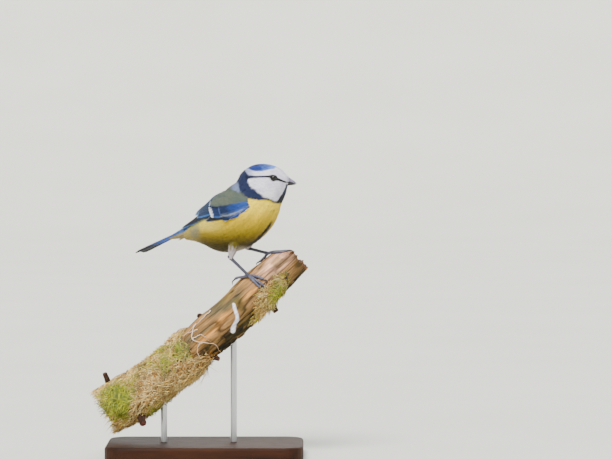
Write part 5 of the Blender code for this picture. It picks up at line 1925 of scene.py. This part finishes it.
@dataclass
class MossBed:
    """A bed of moss: a dark lumpy ground and many curled strands over it."""

    name: str
    solid: str
    span: tuple
    turns: tuple
    count: int
    fresh: float
    seed: int
    parts: int = 1
    size: tuple = (2.4, 5.6)
    girth: tuple = (0.15, 0.34)

    def depth(self, along: Array, turn: Array) -> Array:
        """Gives the bed's depth over the wood."""
        if self.solid == "perch_moss_tuft":
            return PERCH.tuft_depth(along, turn)
        return PERCH.sleeve_depth(along, turn)

    def greenness(self, points: Array) -> Array:
        """Gives how fresh the moss is at places, by broad mottling and two green patches."""
        patch = rise(16, 6, np.linalg.norm(points - (-54, -8, 36), axis=-1))
        patch = np.maximum(patch, 0.45 * rise(11, 4, np.linalg.norm(points - (-20, -10, 64), axis=-1)))
        return np.clip(self.fresh + 0.35 * mottle(points, 9.0, 20) + 0.7 * patch, 0, 1)

    def ground(self) -> None:
        """Makes the bed's ground, which the strands hide but for its gaps; its dark colour is partly the moss's own
        dark base and partly painted shade in those gaps.
        """
        rows, columns = 110, 110
        along = np.linspace(self.span[0] - 4, self.span[1], rows)[:, None] + 0 * np.arange(columns)
        closed = self.turns[1] - self.turns[0] > 6.2
        turn = np.linspace(*self.turns, columns, endpoint=not closed)[None, :] + 0 * along
        spot = PERCH.place(along, turn)
        lumps = 0.55 * mottle(spot, 2.4, 21) + 0.3 * mottle(spot, 1.0, 22)
        height = self.depth(along, turn) - 0.55 + lumps
        # Dark ground colours: partly the moss's own base, partly painted shade under the strands.
        tint = shade((70, 54, 22), (48, 54, 16), self.greenness(spot))
        # Hollows between the lumps are painted darker still, as painted shade.
        tint = tint * (0.75 + 0.35 * rise(-0.6, 0.6, lumps))[..., None]
        weave = Weave()
        if closed:
            weave.shells(PERCH.place(along, turn, height), tint)
        else:
            top = PERCH.place(along, turn, height)
            low = PERCH.place(along, turn, -1.5)[:, ::-1]
            both = np.concatenate([tint, tint[:, ::-1]], axis=1)
            weave.shells(np.concatenate([top, low], axis=1), both)
        weave.make(f"{self.name}_ground", MOSS, "moss", self.solid)

    def strands(self, part: int) -> None:
        """Makes one piece of the strands.

        Each is a thin tapered tube whose line starts along a slanting direction, bends by a curl that
        grows with the square of the distance, and sinks back towards the branch at its end.

        Args:
            part: Which of the bed's pieces, from 0.
        """
        draw = scatter(self.count, 10, self.seed + part)
        along, turn = between(self.span, draw[:, 0]), between(self.turns, draw[:, 1])
        height = self.depth(along, turn)
        kept = height > -0.15 + 0.5 * draw[:, 9]
        draw, along, turn, height = draw[kept], along[kept], turn[kept], height[kept]
        root = PERCH.place(along, turn, height - 0.5)
        out = unit(PERCH.place(along, turn, 1) - PERCH.place(along, turn, 0))
        _, line, _ = PERCH.frame(along)
        round_it = np.cross(line, out)
        swirl = 1.3 * mottle(root, 7.0, 24)
        angle = math.radians(35) + swirl + (draw[:, 2] - 0.5) * 2.6
        lying = np.cos(angle)[:, None] * line + np.sin(angle)[:, None] * round_it
        aside = np.cross(out, lying)
        length = between(self.size, draw[:, 3] ** 1.4)
        share = np.linspace(0, 1, 6)[None, :, None]
        run = length[:, None, None] * share
        lift = (0.25 + 0.6 * draw[:, 4] ** 2)[:, None, None] * run * (1 - 0.66 * share)
        curl = ((draw[:, 5] - 0.5) * 1.7)[:, None, None] * run * share
        sag = -(0.30 * draw[:, 8])[:, None, None] * run * share**2 * np.array((0.0, 0.0, 1.0))
        path = root[:, None] + lying[:, None] * run + out[:, None] * lift + aside[:, None] * curl + sag
        girth = between(self.girth, draw[:, 6])[:, None]
        taper = np.array([0.8, 1.0, 0.95, 0.8, 0.55, 0.16])
        knots = 1 + 0.14 * np.sin(9 * share[..., 0] * length[:, None] + 6 * draw[:, 7:8])
        rings = tube_rings(path, (girth * taper * knots)[..., None] * np.ones(3), out[:, None], 3)
        fresh = self.greenness(root)
        straw = shade((222, 184, 98), (255, 240, 190), draw[:, 7])
        straw = blend(straw, colour(184, 138, 40), rise(0.74, 0.9, draw[:, 2]))
        green = shade((136, 156, 20), (214, 214, 46), draw[:, 5])
        tint = blend(straw, green, rise(0.42, 0.62, fresh + 0.5 * (draw[:, 3] - 0.5)))
        # Patches of strands are painted darker, as painted shade in the holes of the bed, over a random tone for
        # each strand.
        gaps = rise(-0.75, -0.15, mottle(root, 2.6, 25))
        tint = tint * ((0.66 + 0.5 * draw[:, 4]) * (0.42 + 0.58 * gaps))[:, None]
        # Each strand is painted darker towards its root, as painted shade under the strands over it.
        tint = tint[:, None, None] * (0.30 + 0.80 * share[..., None] ** 0.7)
        weave = Weave()
        side = np.array([-0.5, 0.5, 0.0])[None, None, :]
        bake_u = on_map((turn + math.pi) / (2.1 * math.pi))[:, None, None] + MAP_PATCH * side
        bake_v = on_map(along / PERCH.length)[:, None, None] + MAP_PATCH * (share - 0.5)
        bake = np.stack(np.broadcast_arrays(bake_u, bake_v), axis=-1)
        weave.shells(rings, tint, bake=bake)
        weave.make(f"{self.name}_strands_{part + 1}", MOSS, "moss")

    def build(self) -> None:
        """Makes the ground and the strands."""
        self.ground()
        for part in range(self.parts):
            self.strands(part)


# Legs and feet


@dataclass
class Foot:
    """One leg and foot: the scaled shank, the toes with their pads, and the claws."""

    side: Side
    joint: tuple
    toes: tuple
    ankle: tuple
    girths: tuple = (0.35, 0.75, 1.1, 1.3, 1.0, 0.92, 1.15, 0.9)
    toe_radius: float = 0.84
    claw_radius: float = 0.50

    def spot(self, place: tuple) -> Array:
        """Gives the model's place for one on the branch: along, degrees round and height."""
        return PERCH.place(place[0], math.radians(place[1]), place[2])

    def shank(self) -> None:
        """Makes the shank, whose front is stepped by overlapping scutes."""
        ankle = STANCE.place(self.ankle)
        joint = self.spot(self.joint)
        down = unit(joint - ankle)
        share = np.linspace(0, 1, 90)
        start, end = ankle - down * 2.2, joint + down * 0.2
        path = (start + (end - start) * share[:, None])[None]
        length = np.linalg.norm(end - start)
        sides = 24
        turn = circle(sides)
        knots = (0, 0.15, 0.6, 2.2, 4.5, length - 3, length - 0.8, length)
        girth = np.interp(share * length, knots, self.girths)
        front = np.clip(np.cos(turn), 0, 1)[None, :] ** 0.7
        scute = ((share * length / 1.15) % 1)[:, None]
        plate = 0.10 * (scute - 0.5) * front + 0.02 * np.cos(12 * turn) * (1 - front)
        over = np.array((1.0, 0.0, 0.35)) if self.side is Side.RIGHT else np.array((0.2, -0.3, 1.0))
        rings = tube_rings(path, (girth[:, None] * (1 + plate))[None], over, sides)
        seam = np.exp(-((scute - 0.02) / 0.06) ** 2) * front
        # One side of the shank is painted darker than the other, as painted shade on the side away from the light.
        tint = shade((106, 107, 122), (80, 79, 90), rise(-1, 1, -np.sin(turn)))
        tint = blend(tint, colour(64, 62, 74), patchy(rings[0], 1.3, 31)) * 0.5 + tint * 0.5
        tint = blend(tint, colour(44, 42, 52), 0.8 * seam)
        weave = Weave()
        weave.shells(rings, tint)
        self.digits(weave)
        name = self.side.name.lower()
        weave.make(f"leg_scales_{name}", SCALES, "leg_skin", f"leg_{name}", f"foot_{name}")

    def digits(self, weave: Weave) -> None:
        """Adds the toes, ringed by scutes above and swollen into pads below, to the shank's mesh.

        Args:
            weave: The mesh being gathered.
        """
        claws = Weave()
        for pads, claw in self.toes:
            table = np.array([self.spot(place) for place in pads])
            path = smooth(table, np.linspace(0, len(table) - 1, 60))
            start = unit(path[-1] - path[-2])
            hook = np.array([path[-1] - start * 0.7] + [self.spot(place) for place in claw])
            share = np.linspace(0, 1, 60)
            sides = 20
            turn = circle(sides)
            length = np.linalg.norm(np.diff(path, axis=0), axis=-1).sum()
            pad = 0.17 * np.cos(share * 5 * math.pi)[:, None] * np.clip(-np.cos(turn), 0, 1)
            scute = ((share * length / 0.85) % 1)[:, None]
            top = np.clip(np.cos(turn), 0, 1)[None, :] ** 0.6
            girth = self.toe_radius * (1.08 - 0.22 * share)[:, None]
            end = np.sqrt(np.clip(1 - ((share - 0.97) / 0.03).clip(0, 1) ** 2, 0.02, 1))[:, None]
            radii = girth * (1 + pad + 0.12 * (scute - 0.5) * top) * end
            over = unit(path - PERCH.frame(np.full(60, float(pads[1][0])))[0])
            rings = tube_rings(path[None], radii[None], over[None], sides)
            seam = np.exp(-((scute - 0.02) / 0.08) ** 2) * top
            # The toes are painted lighter on top and darker underneath, as painted shade under them.
            tint = shade((124, 124, 144), (84, 80, 88), rise(0.2, -0.8, np.cos(turn)))
            tint = blend(tint, colour(62, 60, 76), patchy(rings[0], 1.1, 32)) * 0.5 + tint * 0.5
            tint = blend(tint, colour(46, 44, 56), 0.8 * seam)
            weave.shells(rings, tint)

            curve = smooth(hook, np.linspace(0, len(hook) - 1, 24))
            taper = self.claw_radius * (1.12 - 1.0 * np.linspace(0, 1, 24) ** 1.2)
            rings = tube_rings(curve[None], taper[None, :, None] * np.ones(12), over[-1], 12)
            claws.shells(rings, shade((84, 80, 92), (40, 38, 44), np.linspace(0, 1, 24))[:, None])
        claws.make(f"claws_{self.side.name.lower()}", CLAW, "leg_skin")

    def build(self) -> None:
        """Makes the leg with its toes and claws."""
        self.shank()


RIGHT_TOES = (
    (((29.0, 33, 1.2), (29.0, 51, 1.0), (28.8, 70, 0.9), (28.6, 84, 0.75)), ((28.4, 92, 0.9), (28.2, 98, 0.15))),
    (((29.0, 33, 1.3), (27.9, 53, 1.05), (26.7, 76, 0.9), (26.0, 93, 0.75)), ((25.6, 102, 1.0), (25.3, 109, 0.15))),
    (((29.0, 33, 1.3), (26.8, 45, 1.0), (24.7, 62, 0.85), (23.6, 73, 0.75)), ((22.9, 81, 0.9), (22.5, 87, 0.15))),
    (((29.0, 33, 1.2), (32.0, 22, 1.5), (34.8, 12, 2.2), (36.9, 6, 2.5)), ((39.4, 2, 2.1), (41.0, 1, 0.35))),
)
LEFT_TOES = (
    (((11.6, -10, 2.1), (8.4, -24, 1.5), (5.0, -38, 1.1), (2.9, -44, 1.0)), ((1.3, -46, 1.1), (0.3, -50, 0.2))),
    (((11.6, -10, 2.1), (8.0, -9, 1.6), (4.2, -7, 1.3), (1.6, -6, 1.3)), ((-0.4, -5, 1.3), (-1.8, -5, -0.6))),
    (((11.6, -10, 2.1), (8.6, 6, 1.4), (5.4, 18, 1.1), (3.6, 24, 1.0)), ((1.9, 28, 1.1), (1.0, 32, 0.15))),
    (((11.6, -10, 2.1), (14.2, -9, 1.3), (16.9, -8, 0.9), (18.6, -7, 0.8)), ((20.6, -7, 1.1), (22.0, -7, 0.15))),
)


# Stand and studio


@dataclass
class Stand:
    """The plain display stand, whose solids keep their shape and get their finishes."""

    def build(self) -> None:
        """Dresses the base in dark wood and the rods in steel."""
        for name, finish in (("stand_base", WALNUT), ("stand_rod_low", STEEL), ("stand_rod_high", STEEL)):
            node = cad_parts[name]
            for place in range(len(node.data.materials)):
                node.data.materials[place] = finish.material()
            log.info("%s dressed in %s", name, finish.name)


@dataclass
class Studio:
    """The pale floor, the soft lights and the camera."""

    frame_width: float = 385.56
    middle: tuple = (63.6, 0.0, 143.3)
    lens: float = 200.0
    sensor: float = 36.0
    elevation: float = 2.0
    floor_flat: float = 3200.0
    floor_curve: float = 2400.0

    def floor(self) -> None:
        """Lays a floor that curves up all round, far away: flat at first, then a quarter circle."""
        flat, curve, sides = self.floor_flat, self.floor_curve, 96
        climb = flat + curve * np.sin(np.linspace(0.1, 1.35, 16))
        out = np.concatenate([np.linspace(60, flat, 16), climb])[:, None]
        turn = np.linspace(0, 2 * math.pi, sides, endpoint=False)[None, :]
        z = curve - np.sqrt(np.maximum(curve**2 - np.maximum(out - flat, 0) ** 2, 0)) + 0 * turn
        rings = np.stack([out * np.cos(turn), out * np.sin(turn), z], axis=-1)
        index = np.arange(rings.shape[0] * sides).reshape(-1, sides)
        there = np.roll(index, -1, axis=1)
        quads = np.stack([index[:-1], index[1:], there[1:], there[:-1]], axis=-1).reshape(-1, 4)
        middle = np.stack([there[0], np.full(sides, index.size), index[0]], axis=-1)
        weave = Weave()
        weave.add(np.concatenate([rings.reshape(-1, 3), np.zeros((1, 3))]), [quads, middle], colour(225, 225, 220))
        sheet = weave.make("floor", PAPER, "stand_wood", inflate=False)

    def lamp(self, name: str, place: tuple, spread: float, power: float, tint: tuple) -> None:
        """Hangs one broad soft lamp far away, whose light comes from a place's direction.

        Args:
            name: The lamp's name.
            place: The direction that it shines from.
            spread: The angle in degrees that it fills, which softens the shadows.
            power: Its strength.
            tint: Its colour.
        """
        light = bpy.data.lights.new(name, "SUN")
        light.angle = math.radians(spread)
        light.energy = power
        light.color = tint
        lamp = bpy.data.objects.new(name, light)
        lamp.rotation_euler = vector_turn(-unit(np.array(place)))
        bpy.context.scene.collection.objects.link(lamp)

    def camera(self) -> None:
        """Sets the long lens at the photograph's angle and framing, a little above level."""
        data = bpy.data.cameras.new("camera")
        data.lens = self.lens
        data.sensor_width = self.sensor
        distance = self.frame_width * self.lens / self.sensor
        lift = math.radians(self.elevation)
        place = np.array(self.middle) + distance * np.array((0.0, -math.cos(lift), math.sin(lift)))
        data.clip_end = 20.0
        camera = bpy.data.objects.new("camera", data)
        camera.location = place * MM
        camera.rotation_euler = (math.pi / 2 - lift, 0.0, 0.0)
        bpy.context.scene.collection.objects.link(camera)
        bpy.context.scene.camera = camera

    def build(self) -> None:
        """Sets up the floor, three lamps, the room's pale light and the camera."""
        self.floor()
        self.lamp("key", (-0.30, -0.85, 1.15), 28.0, 6.6, (1.0, 0.98, 0.95))
        self.lamp("fill", (1.2, -0.6, 0.5), 40.0, 0.7, (0.94, 0.97, 1.0))
        self.lamp("back", (0.2, 0.9, 0.8), 35.0, 1.6, (1.0, 1.0, 1.0))
        world = bpy.data.worlds.new("room")
        world.use_nodes = True
        sky = world.node_tree.nodes["Background"].inputs
        sky["Color"].default_value = (0.86, 0.90, 0.94, 1)
        sky["Strength"].default_value = 0.55
        bpy.context.scene.world = world
        self.camera()


def vector_turn(ahead: Array) -> tuple[float, float, float]:
    """Gives the turn that points a lamp's -Z along a direction: tilt from straight down, then heading."""
    tilt = math.acos(max(-1.0, min(1.0, -float(ahead[2]))))
    heading = math.atan2(float(ahead[1]), float(ahead[0])) - math.pi / 2
    return (tilt, 0.0, heading)


def main() -> None:
    """Builds every piece in order, dresses the stand and sets up the studio."""
    logging.basicConfig(level=logging.INFO, format="%(name)s: %(message)s")
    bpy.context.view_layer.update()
    Plumage().build()
    Head().build()
    for side in Side:
        Wing(side).build()
    Tail().build()
    Branch().build()
    full = (-math.pi, math.pi)
    MossBed("sleeve", "perch_moss_sleeve", (82.0, 154.0), full, 5200, 0.16, 51, parts=4).build()
    MossBed("tuft", "perch_moss_tuft", (8.0, 50.0), (math.radians(82), math.radians(186)), 5000, 0.40, 61).build()
    MossBed("root", "perch_moss_sleeve", (81.0, 90.0), full, 150, -0.8, 71, size=(7.0, 13.0)).strands(0)
    Foot(Side.RIGHT, (29.0, 33, 1.3), RIGHT_TOES, (-1.8, -9.7, -22.3)).build()
    Foot(Side.LEFT, (11.6, -10, 2.1), LEFT_TOES, (0.5, 10.8, -16.9)).build()
    Stand().build()
    Studio().build()


if __name__ == "__main__":
    main()
